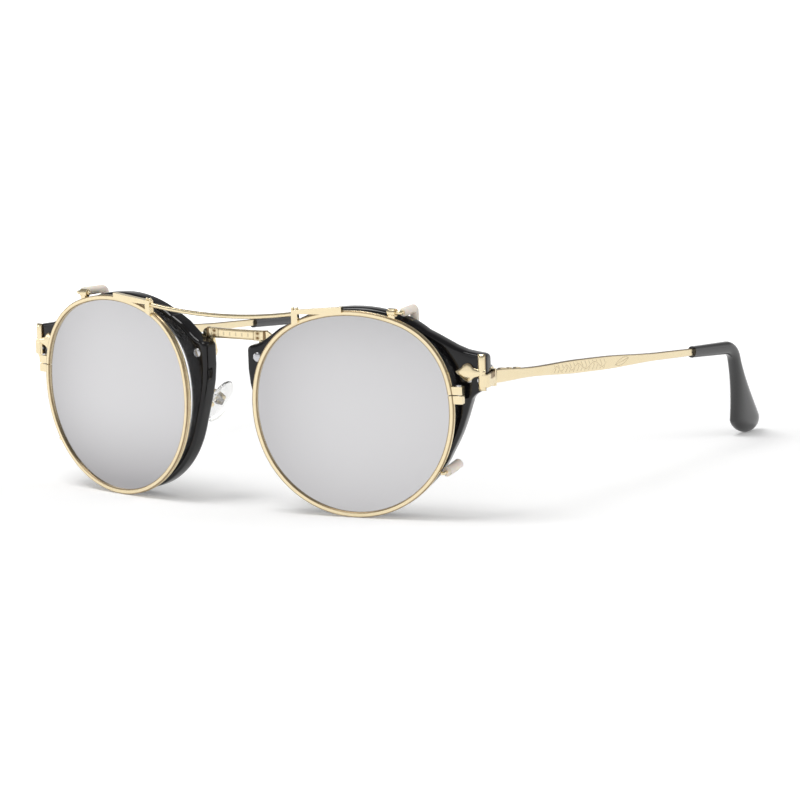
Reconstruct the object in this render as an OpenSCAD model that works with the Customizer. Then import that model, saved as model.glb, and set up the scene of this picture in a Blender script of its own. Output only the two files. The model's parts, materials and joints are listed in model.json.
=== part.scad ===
// Round-eye acetate glasses with metal temples and a clip-on pair of mirror
// sun lenses that swings up on the two hooks above the rims.
//
// Axes: +X to the wearer's left, -Y out of the front, +Z up, millimetres.
// The origin is half way between the lens centres, on the front of the rims.
// A lens frame has u outwards along X, w up along Z, and depth back along Y.

/* [Front] */
// Distance from the middle of the nose to the centre of each lens
lens_x = 34.2; // [33:0.1:38]
// Angle by which each rim turns back towards the temple
wrap = 11.2; // [6:0.2:13]
// Angle by which the top of the front leans forwards
tilt = 2; // [0:0.5:5]

/* [Eye shape] */
// Radius of the lower half of the eye opening
eye_r = 22.3; // [20:0.1:23]
// How much larger the radius is along the sides than below
side_bulge = 4.3; // [3:0.1:6]
// How much smaller the radius is at the upper corners than below
corner_sharpen = 5.7; // [4:0.1:7]

/* [Acetate rims] */
// Width of the acetate around the eye opening
rim_w = 3.2; // [2.8:0.1:4.2]
// How much more of that width lies above the opening than below it
rim_lift = 0.35; // [0:0.05:0.6]
// Thickness of the acetate from front to back
rim_t = 4.4; // [3.6:0.1:5.2]
// Depth of the lens groove
groove_depth = 0.5; // [0.3:0.05:0.8]
// Width of the lens groove
groove_w = 0.9; // [0.7:0.05:1.4]
// Height of the endpiece where the hinge is fixed
endpiece_h = 8.6; // [7.6:0.1:9.4]
// Distance from the lens centre to the outer end of the endpiece
endpiece_u = 33; // [32.6:0.1:35]
// Height of the middle of the endpiece over the lens centre
endpiece_w = 10.3; // [9:0.1:11.5]
// Distance from the lens centre to the face beside the nose
nose_u = 28.6; // [28.2:0.1:29.6]

/* [Clear lenses] */
// Thickness of the clear lenses
lens_t = 2; // [1.6:0.1:2.4]
// Radius of the curved faces of the clear lenses
lens_curve_r = 160; // [120:5:300]

/* [Bridge] */
// Height of the metal bridge bar
bridge_h = 2.7; // [2.2:0.1:3.6]
// Thickness of the metal bridge bar
bridge_t = 1.6; // [1.2:0.1:2.2]
// Height of the bridge over the lens centres
bridge_z = 16.7; // [15:0.1:18]
// Thickness of the plate at each end of the bridge
bridge_plate_t = 1; // [0.7:0.1:1.4]
// Diameter of the head of the bridge rivets
rivet_head_d = 2.3; // [1.8:0.1:2.8]
// Diameter of the shank of every rivet
rivet_d = 1.2; // [0.8:0.1:1.4]

/* [Nose pads] */
// Length of each nose pad
pad_l = 12.5; // [11:0.5:14]
// Width of each nose pad
pad_w = 6; // [5.6:0.2:7]
// Thickness of each nose pad
pad_t = 2; // [1.6:0.1:2.4]
// Distance from the middle of the nose to the pivot of each pad
pad_x = 11.2; // [10.8:0.1:12]
// Distance from the front of the rims back to the pivot of each pad
pad_y = 5.9; // [5.7:0.1:7]
// Height of the pivot of each pad under the lens centres
pad_drop = 0.6; // [0.2:0.1:2]
// Angle by which the lower end of each pad leans outwards
pad_flare = 31; // [22:1:34]
// Angle by which the rear edge of each pad turns outwards
pad_splay = 26; // [20:1:35]
// Diameter of the wire of the pad arms
pad_wire_d = 1; // [0.8:0.1:1.2]

/* [Hinges] */
// Diameter of the hinge barrel
hinge_d = 2.6; // [2.2:0.1:3]
// Height of the whole hinge barrel
hinge_h = 4.2; // [3.6:0.2:5]
// Diameter of the hinge screw
hinge_screw_d = 1.2; // [1:0.1:1.4]
// Thickness of the hinge plate behind the endpiece
hinge_plate_t = 0.8; // [0.6:0.1:1.1]
// Thickness of the arrow plate on the front of the endpiece
arrow_t = 0.8; // [0.6:0.1:1.1]

/* [Temples] */
// Distance from the hinge pin to the start of the black tip
band_l = 98.8; // [90:0.5:105]
// Thickness of the metal temple band
band_t = 1.2; // [1:0.1:1.6]
// Height of the band at the hinge
band_h_front = 3.3; // [3:0.1:4]
// Height of the band at its neck
band_h_neck = 2.4; // [1.9:0.1:2.8]
// Height of the band at the engraved middle
band_h_leaf = 3.4; // [2.8:0.1:4]
// Height of the band where the tip begins
band_h_rear = 1.9; // [1.7:0.1:2.3]
// Angle by which the temples spread outwards to the rear
temple_splay = 2.2; // [0:0.1:3]
// Angle by which the temples drop to the rear
temple_drop = 4.1; // [3:0.1:6]

/* [Temple tips] */
// Length of the straight part of the tip before its bend
tip_straight_l = 19; // [16:0.5:26]
// Radius of the bend over the ear
tip_bend_r = 7.5; // [6:0.5:14]
// Angle of the bend over the ear
tip_bend = 54; // [40:1:60]
// Angle by which the bent end leans inwards
tip_cant = 9; // [0:0.5:12]
// Width of the tip where it begins
tip_w_start = 3.1; // [2.7:0.1:3.5]
// Width of the paddle at its widest
tip_w_end = 15; // [9:0.2:16]
// Thickness of the paddle
tip_t = 4; // [3:0.1:4.6]
// Diameter of the metal core inside the tip
core_d = 1.2; // [0.9:0.1:1.4]

/* [Clip-on rims] */
// How far the clip rim's outside stands outside the eye opening
clip_e = 3.4; // [3:0.1:3.8]
// Width of the clip rim wire, seen from the front
clip_wire_w = 1.25; // [1:0.05:1.6]
// Depth of the clip rim wire from front to back
clip_wire_t = 2.2; // [1.8:0.1:2.6]
// Space between the back of the clip rim and the front of the acetate
clip_gap = 2.1; // [1.8:0.1:3]
// Thickness of the mirror lenses
mirror_t = 1.1; // [0.9:0.1:1.4]
// Radius of the curved faces of the mirror lenses
mirror_curve_r = 300; // [220:10:600]
// Height of the closing block on the outside of the clip rim
lock_h = 4.2; // [3.4:0.2:5]
// Width of the closing block on the outside of the clip rim
lock_w = 2.2; // [2:0.1:3]
// Height of the middle of the closing block over the lens centre
lock_z = 5.2; // [3:0.1:6]

/* [Clip-on bar] */
// Distance from the middle of the nose to each end post of the bar
post_x = 21.5; // [20:0.1:23]
// Diameter of the bar
bar_d = 1.1; // [0.9:0.1:1.4]
// How far the middle of the bar hangs under its ends
bar_sag = 1.6; // [0.4:0.1:2.4]
// Width of each end post
post_w = 1.6; // [1.2:0.1:2]
// Height of each end post over the bar
post_rise = 1.1; // [0.8:0.1:1.8]

/* [Clip-on hooks] */
// Diameter of the hook wire
hook_wire_d = 0.9; // [0.7:0.05:1.1]
// Outside diameter of the rubber sleeves
sleeve_d = 2.2; // [1.8:0.1:2.4]
// Distance from the middle of the nose to the top hook arms
top_hook_x = 47.8; // [47.5:0.1:49]
// Space between the sleeves of the top hooks and the top of the acetate
hook_rise = 1.2; // [0.9:0.1:1.6]
// Distance from the middle of the nose to the lower hooks
low_hook_x = 57; // [56.4:0.1:58]
// Outside diameter of the sleeves on the lower hooks
low_sleeve_d = 2.4; // [1.8:0.1:2.6]
// Angle below the lens centre at which the lower hooks leave the clip rim
low_root_a = 31; // [29:1:35]
// How far the lower hooks reach behind the back of the acetate
low_hook_past = 0.2; // [0:0.1:1.5]
// Length of the top hook behind the acetate
top_hook_drop = 3.6; // [2:0.1:4.4]

/* [Hidden] */

$fn = 48;
left = 1;
right = -1;

// Small clearances
slip = 0.05;
running = 0.04;
air = 0.3;
over = 1;

// Eye shape: arcs that meet smoothly, named from below to the top
side_r = eye_r + side_bulge;
corner_r = eye_r - corner_sharpen;
side_from = -20;
corner_from = 15;
top_from = 70;
side_c = (eye_r - side_r) * [cos(side_from), sin(side_from)];
corner_c = side_c + (side_r - corner_r) * [cos(corner_from), sin(corner_from)];
top_c = [0, corner_c[1] - corner_c[0] * tan(top_from)];
top_r = corner_r + corner_c[0] / cos(top_from);
arc_step = 4;

// Depths, from the front face of the acetate backwards
clip_back = -clip_gap;
clip_front = clip_back - clip_wire_t;
clip_mid = (clip_front + clip_back) / 2;
groove_mid = rim_t / 2;

// Outlines, as distances outside the eye opening
rim_e = rim_w;
clip_in_e = clip_e - clip_wire_w;
clip_groove_depth = 0.4;
clip_groove_w = 0.7;
clip_line_depth = 0.25;
clip_line_w = 0.3;

// A point of a lens frame in the part's frame
function placed(u, w, d) =
    let (
        x = u * cos(wrap) - d * sin(wrap),
        y = u * sin(wrap) + d * cos(wrap)
    )
    [lens_x + x, y * cos(tilt) - w * sin(tilt), y * sin(tilt) + w * cos(tilt)];

// The lowest edge of the clip rims is the surface that the glasses stand on
floor_z = -(eye_r + clip_e) * cos(tilt) + clip_front * sin(tilt);

// Hinge
hinge_r = hinge_d / 2;
hinge_u = endpiece_u - 1.8;
hinge_w = endpiece_w - 2;
tab_h = band_h_front;
knuckle_gap = 0.1;
knuckle_h = (hinge_h - 2 * knuckle_gap) * 0.3;
leaf_knuckle_h = hinge_h - 2 * knuckle_gap - 2 * knuckle_h;
plate_back = rim_t + hinge_plate_t;
hinge_pin = placed(hinge_u, hinge_w, plate_back + hinge_r + air);
tab_corner = placed(endpiece_u + arrow_t, hinge_w, plate_back);
band_x = tab_corner[0] - band_t - hinge_pin[0];
band_start = tab_corner[1] + air - hinge_pin[1];

// Pads
pad_pivot = [pad_x, pad_y, -pad_drop];
boss_r = 0.75;
boss_l = 1.8;
cheek_t = 0.6;
box_half = boss_l / 2 + knuckle_gap + cheek_t;
pad_screw_d = 0.7;
box_r = 1.1;
pad_stem = 1.5;

// Bar and posts
strip_t = 1.4;
strip_mid = clip_front + 0.1;
post_u = (post_x - lens_x + strip_mid * sin(wrap)) / cos(wrap);
post_foot = outline_w(post_u, clip_e);
bar_end_w = post_foot + 1.6;
post_at = placed(post_u, bar_end_w, strip_mid);
bar_half = post_at[0] - post_w / 2;
bar_arc_r = (bar_half * bar_half + bar_sag * bar_sag) / (2 * bar_sag);
bar_angle = asin((bar_half + post_w / 2) / bar_arc_r);
strip_u = -1.6;
strip_h = 1;

// Hooks
barrel_d = 2;
barrel_l = 2;
pin_y = placed(barrel_u(), 0, clip_mid)[1] - sin(tilt) * eye_r;
hook_top_w = outline_w((top_hook_x - lens_x) / cos(wrap), rim_e) + rim_lift;
flip_z = hook_top_w * cos(tilt) + sleeve_d / 2 + hook_rise;
barrel_x = top_hook_x - sleeve_d / 2 - air - barrel_l / 2;
hook_back_y = placed((top_hook_x - lens_x) / cos(wrap), hook_top_w, rim_t)[1] + sleeve_d / 2 + air;
hook_arm_l = (hook_back_y - pin_y) / cos(wrap);
sleeve_start = barrel_d / 2 + air;
low_hook_u = (low_hook_x - lens_x) / cos(wrap);
low_reach = eye_r + rim_e + low_sleeve_d / 2 + air;
low_beside = placed(low_hook_u, -sqrt(low_reach * low_reach - low_hook_u * low_hook_u), 0);
swing_r = norm([low_beside[1] - pin_y, low_beside[2] - flip_z]);
low_root_r = eye_r + clip_e - 0.2;
low_root = placed(low_root_r * cos(low_root_a), -low_root_r * sin(low_root_a), clip_mid);
low_root_d = hook_wire_d + 0.2;
low_root_l = low_hook_x - low_root[0];
swing_from = asin((low_root[1] - pin_y) / swing_r);
swing_to = asin((placed(low_hook_u, 0, rim_t)[1] + low_hook_past - pin_y) / swing_r);
low_start = [low_hook_x, pin_y + swing_r * sin(swing_from), flip_z - swing_r * cos(swing_from)];

function barrel_u() = (top_hook_x - sleeve_d / 2 - air - 1 - lens_x) / cos(wrap);

// Points of an arc about c, without its last point
function arc(c, r, from, to) =
    let (n = ceil(abs(to - from) / arc_step))
    [for (i = [0 : n - 1]) c + r * [cos(from + (to - from) * i / n), sin(from + (to - from) * i / n)]];

// Right half of the eye shape from below to the top, e outside the eye opening
function half_eye(e) = concat(
    arc([0, 0], eye_r + e, -90, side_from),
    arc(side_c, side_r + e, side_from, corner_from),
    arc(corner_c, corner_r + e, corner_from, top_from),
    arc(top_c, top_r + e, top_from, 90));

// The whole eye shape: the right half, the top, and the right half mirrored
function eye_outline(e) =
    let (half = half_eye(e), n = len(half))
    concat(half, [[0, top_c[1] + top_r + e]], [for (i = [n - 1 : -1 : 1]) [-half[i][0], half[i][1]]]);

// Height of the eye shape's upper edge over u, on its corner arc or its top arc
function outline_w(u, e) =
    let (corner = corner_c[1] + sqrt(pow(corner_r + e, 2) - pow(abs(u) - corner_c[0], 2)))
    abs(u) > corner_c[0] + (corner_r + e) * cos(top_from)
        ? corner
        : top_c[1] + sqrt(pow(top_r + e, 2) - u * u);

// The wearer's left side is drawn at +X and the other side mirrors it
module on_side(side) {
    mirror([side == left ? 0 : 1, 0, 0]) children();
}

module lens_frame(side) {
    on_side(side) translate([lens_x, 0, 0]) rotate([tilt, 0, 0]) rotate([0, 0, wrap]) children();
}

// A flat shape drawn in u and w, standing between two depths
module slab(from, to) {
    translate([0, to, 0]) rotate([90, 0, 0]) linear_extrude(to - from) children();
}

// A rod through a lens frame between two depths
module rod(u, w, from, to, d) {
    translate([u, to, w]) rotate([90, 0, 0]) cylinder(d = d, h = to - from);
}

module eye_slab(e, from, to) {
    slab(from, to) polygon(eye_outline(e));
}

// A curved plate: the space between two spheres whose centres lie behind it
module dome(r, t, front, e) {
    intersection() {
        eye_slab(e, front - over, front + t + 4);
        translate([0, front + r, 0]) difference() {
            sphere(r, $fn = 96);
            sphere(r - t, $fn = 96);
        }
    }
}

// Acetate rims
nose_top = 15;
nose_shape = [[-17, eye_r - 1.3], [-20.2, eye_r - 2.9], [-23.2, eye_r - 5.2], [-24.9, nose_top + 1],
    [-26.4, nose_top + 0.3], [-nose_u + 0.6, nose_top], [-nose_u, nose_top - 0.7], [-nose_u, 9], [-nose_u + 0.4, 5.4],
    [-nose_u + 1.1, 2.6], [-nose_u + 1.9, 0], [-nose_u + 2.8, -2.9], [-20, 0]];
endpiece_top = endpiece_w + endpiece_h / 2;
endpiece_low = endpiece_w - endpiece_h / 2;
endpiece_shape = [[15, eye_r - 1.2], [17.7, eye_r - 2.3], [20.2, eye_r - 3.5], [22.7, eye_r - 4.8],
    [eye_r + 2.9, endpiece_top + 1.6], [eye_r + 5.4, endpiece_top + 0.6],
    [endpiece_u - 2.8, endpiece_top + 0.1], [endpiece_u - 0.6, endpiece_top - 0.2],
    [endpiece_u, endpiece_top - 0.8], [endpiece_u, endpiece_low + 0.6],
    [endpiece_u - 0.8, endpiece_low - 0.2], [endpiece_u - 2.6, endpiece_low - 1],
    [eye_r + 6.7, 3.6], [eye_r + 5.8, 1.6], [eye_r + 5.2, -0.4], [eye_r + 4.5, -2.8],
    [eye_r + 3.6, -5.2], [eye_r + 2.6, -7.6], [20, 0]];

rivet_u = -25.8;
rivet_w = 12.3;
plate_rivet_u = endpiece_u - 4.2;

module rim(side) {
    color("#1c1b1d") lens_frame(side) difference() {
        slab(0, rim_t) union() {
            translate([0, rim_lift]) polygon(eye_outline(rim_e));
            polygon(nose_shape);
            polygon(endpiece_shape);
        }
        eye_slab(0, -over, rim_t + over);
        eye_slab(groove_depth, groove_mid - groove_w / 2, groove_mid + groove_w / 2);
        rod(rivet_u, rivet_w, -over, rim_t + over, rivet_d + 2 * slip);
        hinge_rivet_places() rod(0, 0, -over, rim_t + over, rivet_d + 2 * slip);
    }
}

module hinge_rivet_places() {
    for (u = [plate_rivet_u, plate_rivet_u + 2.6]) translate([u, 0, hinge_w]) children();
}

module clear_lens(side) {
    color("#e8ecec") lens_frame(side) union() {
        dome(lens_curve_r, lens_t, groove_mid - 0.9 - sag(lens_curve_r), -slip);
        eye_ring(-2, groove_depth - slip, groove_mid - groove_w / 2 + slip, groove_mid + groove_w / 2 - slip);
    }
}

// How far a dome of radius r stands out over its edge at the eye opening
function sag(r) = r - sqrt(r * r - eye_r * eye_r);

// A flat ring between two distances outside the eye opening
module eye_ring(inner, outer, from, to) {
    difference() {
        eye_slab(outer, from, to);
        eye_slab(inner, from - over, to + over);
    }
}

// Bridge, its end plates behind the acetate, and its rivets
bridge_reach = 9;
bridge_mid_y = placed(rivet_u, rivet_w, rim_t + bridge_plate_t / 2)[1];

module bridge() {
    color("#d9bb79") difference() {
        union() {
            translate([-bridge_reach, bridge_mid_y - bridge_t / 2, bridge_z - bridge_h / 2])
                cube([2 * bridge_reach, bridge_t, bridge_h]);
            for (side = [left, right]) lens_frame(side) bridge_plate();
        }
        for (side = [left, right]) lens_frame(side) slab(-over, rim_t) translate([0, air]) polygon(nose_shape);
    }
}

module bridge_plate() {
    difference() {
        slab(rim_t, rim_t + bridge_plate_t) hull() {
            translate([rivet_u, rivet_w]) circle(1.9);
            translate([rivet_u + 0.6, bridge_z - 0.4]) circle(1.6);
        }
        rod(rivet_u, rivet_w, rim_t - over, rim_t + bridge_plate_t + over, rivet_d + 2 * slip);
    }
}

rivet_head_t = 0.4;

module rivet(u, w, from, to, head_d) {
    rod(u, w, from, to, rivet_d);
    rod(u, w, from - rivet_head_t, from, head_d);
    rod(u, w, to, to + rivet_head_t, head_d * 0.8);
}

module bridge_rivets() {
    color("#b9b9bd") for (side = [left, right]) lens_frame(side)
        rivet(rivet_u, rivet_w, 0, rim_t + bridge_plate_t, rivet_head_d);
}

// Pads: in a pad's frame the pad lies on -X, its length along Z and its screw along Y
function turned_y(p, a) = [p[0] * cos(a) + p[2] * sin(a), p[1], -p[0] * sin(a) + p[2] * cos(a)];

function turned_z(p, a) = [p[0] * cos(a) - p[1] * sin(a), p[0] * sin(a) + p[1] * cos(a), p[2]];

function pad_point(p) = pad_pivot + turned_y(turned_z(p, pad_splay), -pad_flare);

module pad_frame(side) {
    on_side(side) translate(pad_pivot) rotate([0, -pad_flare, 0]) rotate([0, 0, pad_splay]) children();
}

module along_y() {
    rotate([90, 0, 0]) children();
}

module link(a, b, d) {
    v = b - a;
    translate(a) rotate([0, acos(v[2] / norm(v)), atan2(v[1], v[0])]) cylinder(d = d, h = norm(v), $fn = 24);
}

module bead(p, d) {
    translate(p) sphere(d = d, $fn = 24);
}

function pad_local(p) = turned_z(turned_y(p - pad_pivot, pad_flare), -pad_splay);

pad_cross_d = pad_wire_d + 0.2;
pad_root = pad_local(placed(-24.2, -1.1, rim_t - 0.5));
wire_front = -pad_w / 2 - pad_cross_d / 2 - air;
wire_end = box_r + cheek_t / 2;

// The wire leaves the acetate, passes in front of the pad and ends on the front cheek of the box
module pad_wire() {
    translate(pad_root) rotate([-90, 0, 0]) cylinder(d = pad_wire_d, h = wire_front - pad_root[1], $fn = 24);
    translate([pad_root[0] - pad_cross_d / 2, wire_front, pad_root[2]]) rotate([0, 90, 0])
        cylinder(d = pad_cross_d, h = wire_end - pad_root[0] + pad_cross_d, $fn = 24);
    translate([wire_end, wire_front, pad_root[2]]) rotate([-90, 0, 0])
        cylinder(d = pad_wire_d, h = -box_half + cheek_t / 2 - wire_front, $fn = 24);
}

module pad_arm(side) {
    color("#cdb274") difference() {
        pad_frame(side) {
            pad_wire();
            pad_box();
        }
        lens_frame(side) slab(-over, rim_t) translate([-40, -10]) square([30, 20]);
    }
}

// The box stands on the outer side of the pivot, open towards the pad, above and below
module pad_box() {
    difference() {
        translate([-boss_r, -box_half, -box_r]) cube([boss_r + box_r + cheek_t, 2 * box_half, 2 * box_r]);
        translate([-boss_r - over, -boss_l / 2 - knuckle_gap, -box_r - over])
            cube([boss_r + box_r + over, boss_l + 2 * knuckle_gap, 2 * box_r + 2 * over]);
        along_y() cylinder(d = pad_screw_d + 2 * slip, h = 4 * box_half, center = true, $fn = 24);
    }
}

module nose_pad(side) {
    color("#eef0ee") pad_frame(side) difference() {
        union() {
            along_y() cylinder(r = boss_r, h = boss_l, center = true);
            translate([-pad_stem - 0.4, -boss_l / 2, -boss_r]) cube([pad_stem + 0.4, boss_l, 2 * boss_r]);
            translate([-pad_stem - pad_t, 0, 0]) rotate([0, 90, 0]) hull() {
                translate([-pad_l / 2 + pad_w * 0.42, 0, 0]) cylinder(d = pad_w * 0.84, h = pad_t, $fn = 32);
                translate([pad_l / 2 - pad_w / 2, 0, 0]) cylinder(d = pad_w, h = pad_t, $fn = 32);
            }
        }
        along_y() cylinder(d = pad_screw_d + 2 * running, h = 2 * boss_l, center = true, $fn = 24);
    }
}

module pad_screws() {
    color("#b9b9bd") for (side = [left, right]) pad_frame(side) along_y() {
        translate([0, 0, -box_half]) cylinder(d = pad_screw_d, h = 2 * box_half, $fn = 24);
        translate([0, 0, box_half]) cylinder(d = pad_screw_d + 0.6, h = 0.35, $fn = 24);
    }
}

// Arrow plate: a spade head, a cross bar, and a tab around the endpiece's end
arrow_l = 7.8;
arrow_shape = [[0, 0], [1.2, 0.9], [2.3, 1.9], [3.2, 2.3], [4, 2], [4.7, 1.2], [5.8, 0.9], [arrow_l, 0.9],
    [arrow_l, -1], [5.6, -1], [4.8, -1.4], [4, -2.1], [3.2, -2.4], [2.4, -2], [1, -0.9]];
cross_w = 1.9;

module arrow_plate(side) {
    color("#e6cf97") lens_frame(side) difference() {
        union() {
            slab(-arrow_t, 0) union() {
                translate([endpiece_u - arrow_l, endpiece_w - 0.1]) polygon(arrow_shape);
                translate([endpiece_u - cross_w - 0.1, endpiece_low - 0.2]) square([cross_w, endpiece_h + 0.2]);
                translate([endpiece_u - 0.4, hinge_w - tab_h / 2]) square([0.4 + arrow_t, tab_h]);
            }
            slab(-over / 2, rim_t) translate([endpiece_u, hinge_w - tab_h / 2]) square([arrow_t, tab_h]);
        }
        hinge_rivet_places() rod(0, 0, -0.4, rim_t, rivet_d + 2 * slip);
    }
}

module hinge_rivets() {
    color("#b9b9bd") for (side = [left, right]) lens_frame(side)
        hinge_rivet_places() rod(0, 0, -0.4, plate_back - slip, rivet_d);
}

// Hinge: plate and two knuckles behind the endpiece, one knuckle on the temple
module at_pin(side, z) {
    on_side(side) translate(hinge_pin + [0, 0, z]) children();
}

module hinge_front(side) {
    color("#d9bb79") difference() {
        union() {
            lens_frame(side) slab(rim_t, plate_back)
                translate([plate_rivet_u - 1.2, hinge_w - hinge_h / 2])
                square([endpiece_u + arrow_t - plate_rivet_u + 1.2, hinge_h]);
            for (z = [-hinge_h / 2, hinge_h / 2 - knuckle_h]) at_pin(side, z) {
                cylinder(r = hinge_r, h = knuckle_h);
                translate([-hinge_r, -hinge_r - air - 0.4, 0]) cube([2 * hinge_r - 0.6, hinge_r + air + 0.4, knuckle_h]);
            }
        }
        at_pin(side, -hinge_h) cylinder(d = hinge_screw_d + 2 * running, h = 2 * hinge_h);
        lens_frame(side) hinge_rivet_places() rod(0, 0, rim_t - over, plate_back + over, rivet_d + 2 * slip);
    }
}

screw_head_t = 0.4;

module hinge_screw(side) {
    color("#b9b9bd") at_pin(side, -hinge_h / 2) {
        cylinder(d = hinge_screw_d, h = hinge_h);
        translate([0, 0, hinge_h]) difference() {
            cylinder(d = hinge_screw_d + 0.8, h = screw_head_t);
            translate([-hinge_screw_d, -0.15, screw_head_t / 2]) cube([2 * hinge_screw_d, 0.3, 1]);
        }
    }
}

// Temple band: its half height eases from one station to the next
band_stations = [[band_start, band_h_front], [0.16 * band_l, band_h_neck], [0.4 * band_l, band_h_leaf],
    [0.5 * band_l, band_h_leaf], [0.82 * band_l, band_h_rear + 0.1], [band_l, band_h_rear]];

function eased(t) = (1 - cos(180 * t)) / 2;

function band_edge() = [for (k = [0 : len(band_stations) - 2], t = [0 : 0.2 : 0.8])
    let (a = band_stations[k], b = band_stations[k + 1])
    [a[0] + (b[0] - a[0]) * t, (a[1] + (b[1] - a[1]) * eased(t)) / 2]];

module band_side() {
    edge = concat(band_edge(), [[band_l, band_h_rear / 2]]);
    n = len(edge);
    polygon(concat(edge, [for (i = [n - 1 : -1 : 0]) [edge[i][0], -edge[i][1]]]));
}

module temple_frame(side) {
    at_pin(side, 0) rotate([-temple_drop, 0, -temple_splay]) children();
}

// The tip's own frame starts where the band ends, and leans inwards
module tip_frame(side) {
    temple_frame(side) translate([band_x + band_t / 2, band_l, 0]) rotate([0, tip_cant, 0]) children();
}

tip_lean = 90 - temple_drop - tip_bend;
cap_l = 0.35 * tip_w_end;
bend_drop = tip_bend_r * (cos(temple_drop) - cos(temple_drop + tip_bend));
tip_top_z = hinge_pin[2] - (band_l + tip_straight_l) * sin(temple_drop) - bend_drop * cos(tip_cant);
tip_drop_l = (tip_top_z - floor_z) / sin(temple_drop + tip_bend) / cos(tip_cant) - cap_l;
core_end = 0.6;

module temple(side) {
    color("#e6cf97") {
        difference() {
            union() {
                temple_frame(side) translate([band_x, 0, 0]) rotate([90, 0, 90])
                    linear_extrude(band_t) band_side();
                at_pin(side, -leaf_knuckle_h / 2) {
                    cylinder(r = hinge_r, h = leaf_knuckle_h);
                    translate([0, band_start + 0.15, 0]) cube([band_x + 0.4, hinge_r - band_start, leaf_knuckle_h]);
                }
            }
            at_pin(side, -hinge_h) cylinder(d = hinge_screw_d + 2 * running, h = 2 * hinge_h);
        }
        tip_frame(side) core();
    }
}

// The core: straight, round the bend, and down into the paddle
module core() {
    rotate([-90, 0, 0]) cylinder(d = core_d, h = tip_straight_l, $fn = 24);
    translate([0, tip_straight_l, -tip_bend_r]) rotate([90, 0, 90])
        rotate([0, 0, 90 - tip_bend]) rotate_extrude(angle = tip_bend, $fn = 96)
        translate([tip_bend_r, 0]) circle(d = core_d, $fn = 24);
    translate([0, tip_straight_l, -tip_bend_r]) rotate([-tip_bend, 0, 0]) translate([0, 0, tip_bend_r])
        rotate([-90, 0, 0]) cylinder(d = core_d, h = tip_drop_l * core_end, $fn = 24);
}

// Tip: a tube with a blind bore, swept along straight, bend and drop.
// A ring is [distance along the path, width, thickness].
bend_l = tip_bend_r * tip_bend * PI / 180;
tip_l = tip_straight_l + bend_l + tip_drop_l;
paddle_curve = 1.8;
ring_sides = 20;
drop_from = tip_straight_l + bend_l;

function tip_width(s) =
    s < drop_from ? tip_w_start + 0.6 * s / drop_from
    : tip_w_start + 0.6 + (tip_w_end - tip_w_start - 0.6) * pow(min(1, (s - drop_from) / tip_drop_l), paddle_curve);

function tip_thick(s) = 2.6 + (tip_t - 2.6) * eased(min(1, s / (drop_from + tip_drop_l)));

// The end closes with a half round
function tip_close(s) = s < tip_l ? 1 : sqrt(max(0, 1 - pow((s - tip_l) / cap_l, 2)));

function path_point(s) =
    s <= tip_straight_l ? [0, s, 0]
    : s <= drop_from
    ? let (a = (s - tip_straight_l) / tip_bend_r * 180 / PI)
        [0, tip_straight_l + tip_bend_r * sin(a), -tip_bend_r * (1 - cos(a))]
    : [0, tip_straight_l + tip_bend_r * sin(tip_bend) + (s - drop_from) * cos(tip_bend),
        -tip_bend_r * (1 - cos(tip_bend)) - (s - drop_from) * sin(tip_bend)];

function path_turn(s) = min(tip_bend, max(0, (s - tip_straight_l) / tip_bend_r * 180 / PI));

// The rings lean back on the drop until they lie level at the end
function ring_turn(s) = path_turn(s) + tip_lean * min(1, max(0, (s - drop_from) / tip_drop_l));

function ring(s, w, t) =
    let (p = path_point(s), a = ring_turn(s), up = [0, sin(a), cos(a)])
    [for (i = [0 : ring_sides - 1]) p + t / 2 * cos(360 * i / ring_sides) * [1, 0, 0]
        + w / 2 * sin(360 * i / ring_sides) * up];

end_steps = [0, 0.3, 0.55, 0.75, 0.88, 0.96, 0.995];
outer_at = concat([for (i = [0 : 8]) tip_straight_l * i / 9],
    [for (i = [0 : 7]) tip_straight_l + bend_l * i / 8],
    [for (i = [0 : 9]) drop_from + tip_drop_l * i / 10],
    [for (k = end_steps) tip_l + cap_l * k]);
bore_end = drop_from + tip_drop_l * core_end + 0.5;
inner_at = concat([0], [for (i = [0 : 8]) tip_straight_l + bend_l * i / 8], [bore_end]);
bore_d = core_d / cos(180 / ring_sides) + 2 * slip;

module temple_tip(side) {
    outer = [for (s = outer_at) each ring(s, tip_width(s) * tip_close(s), tip_thick(s) * tip_close(s))];
    inner = [for (s = inner_at) each ring(s, bore_d, bore_d)];
    color("#2a2a2d") tip_frame(side) blind_tube(outer, len(outer_at), inner, len(inner_at));
}

// Skin of a tube with a closed end and a blind bore, from its two sets of rings
module blind_tube(outer, n_out, inner, n_in) {
    k = ring_sides;
    first = n_out * k;
    function quad(a, b, c, d) = [[a, b, c], [a, c, d]];
    walls = [for (i = [0 : n_out - 2], j = [0 : k - 1])
        each quad(i * k + j, i * k + (j + 1) % k, (i + 1) * k + (j + 1) % k, (i + 1) * k + j)];
    bore = [for (i = [0 : n_in - 2], j = [0 : k - 1])
        each quad(first + i * k + (j + 1) % k, first + i * k + j,
            first + (i + 1) * k + j, first + (i + 1) * k + (j + 1) % k)];
    mouth = [for (j = [0 : k - 1]) each quad((j + 1) % k, j, first + j, first + (j + 1) % k)];
    last_out = [for (j = [0 : k - 1]) (n_out - 1) * k + j];
    last_in = [for (j = [k - 1 : -1 : 0]) first + (n_in - 1) * k + j];
    polyhedron(concat(outer, inner), concat(walls, bore, mouth, [last_out], [last_in]));
}

// Clip-on rims, split at the closing block
split_gap = 0.25;

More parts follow.
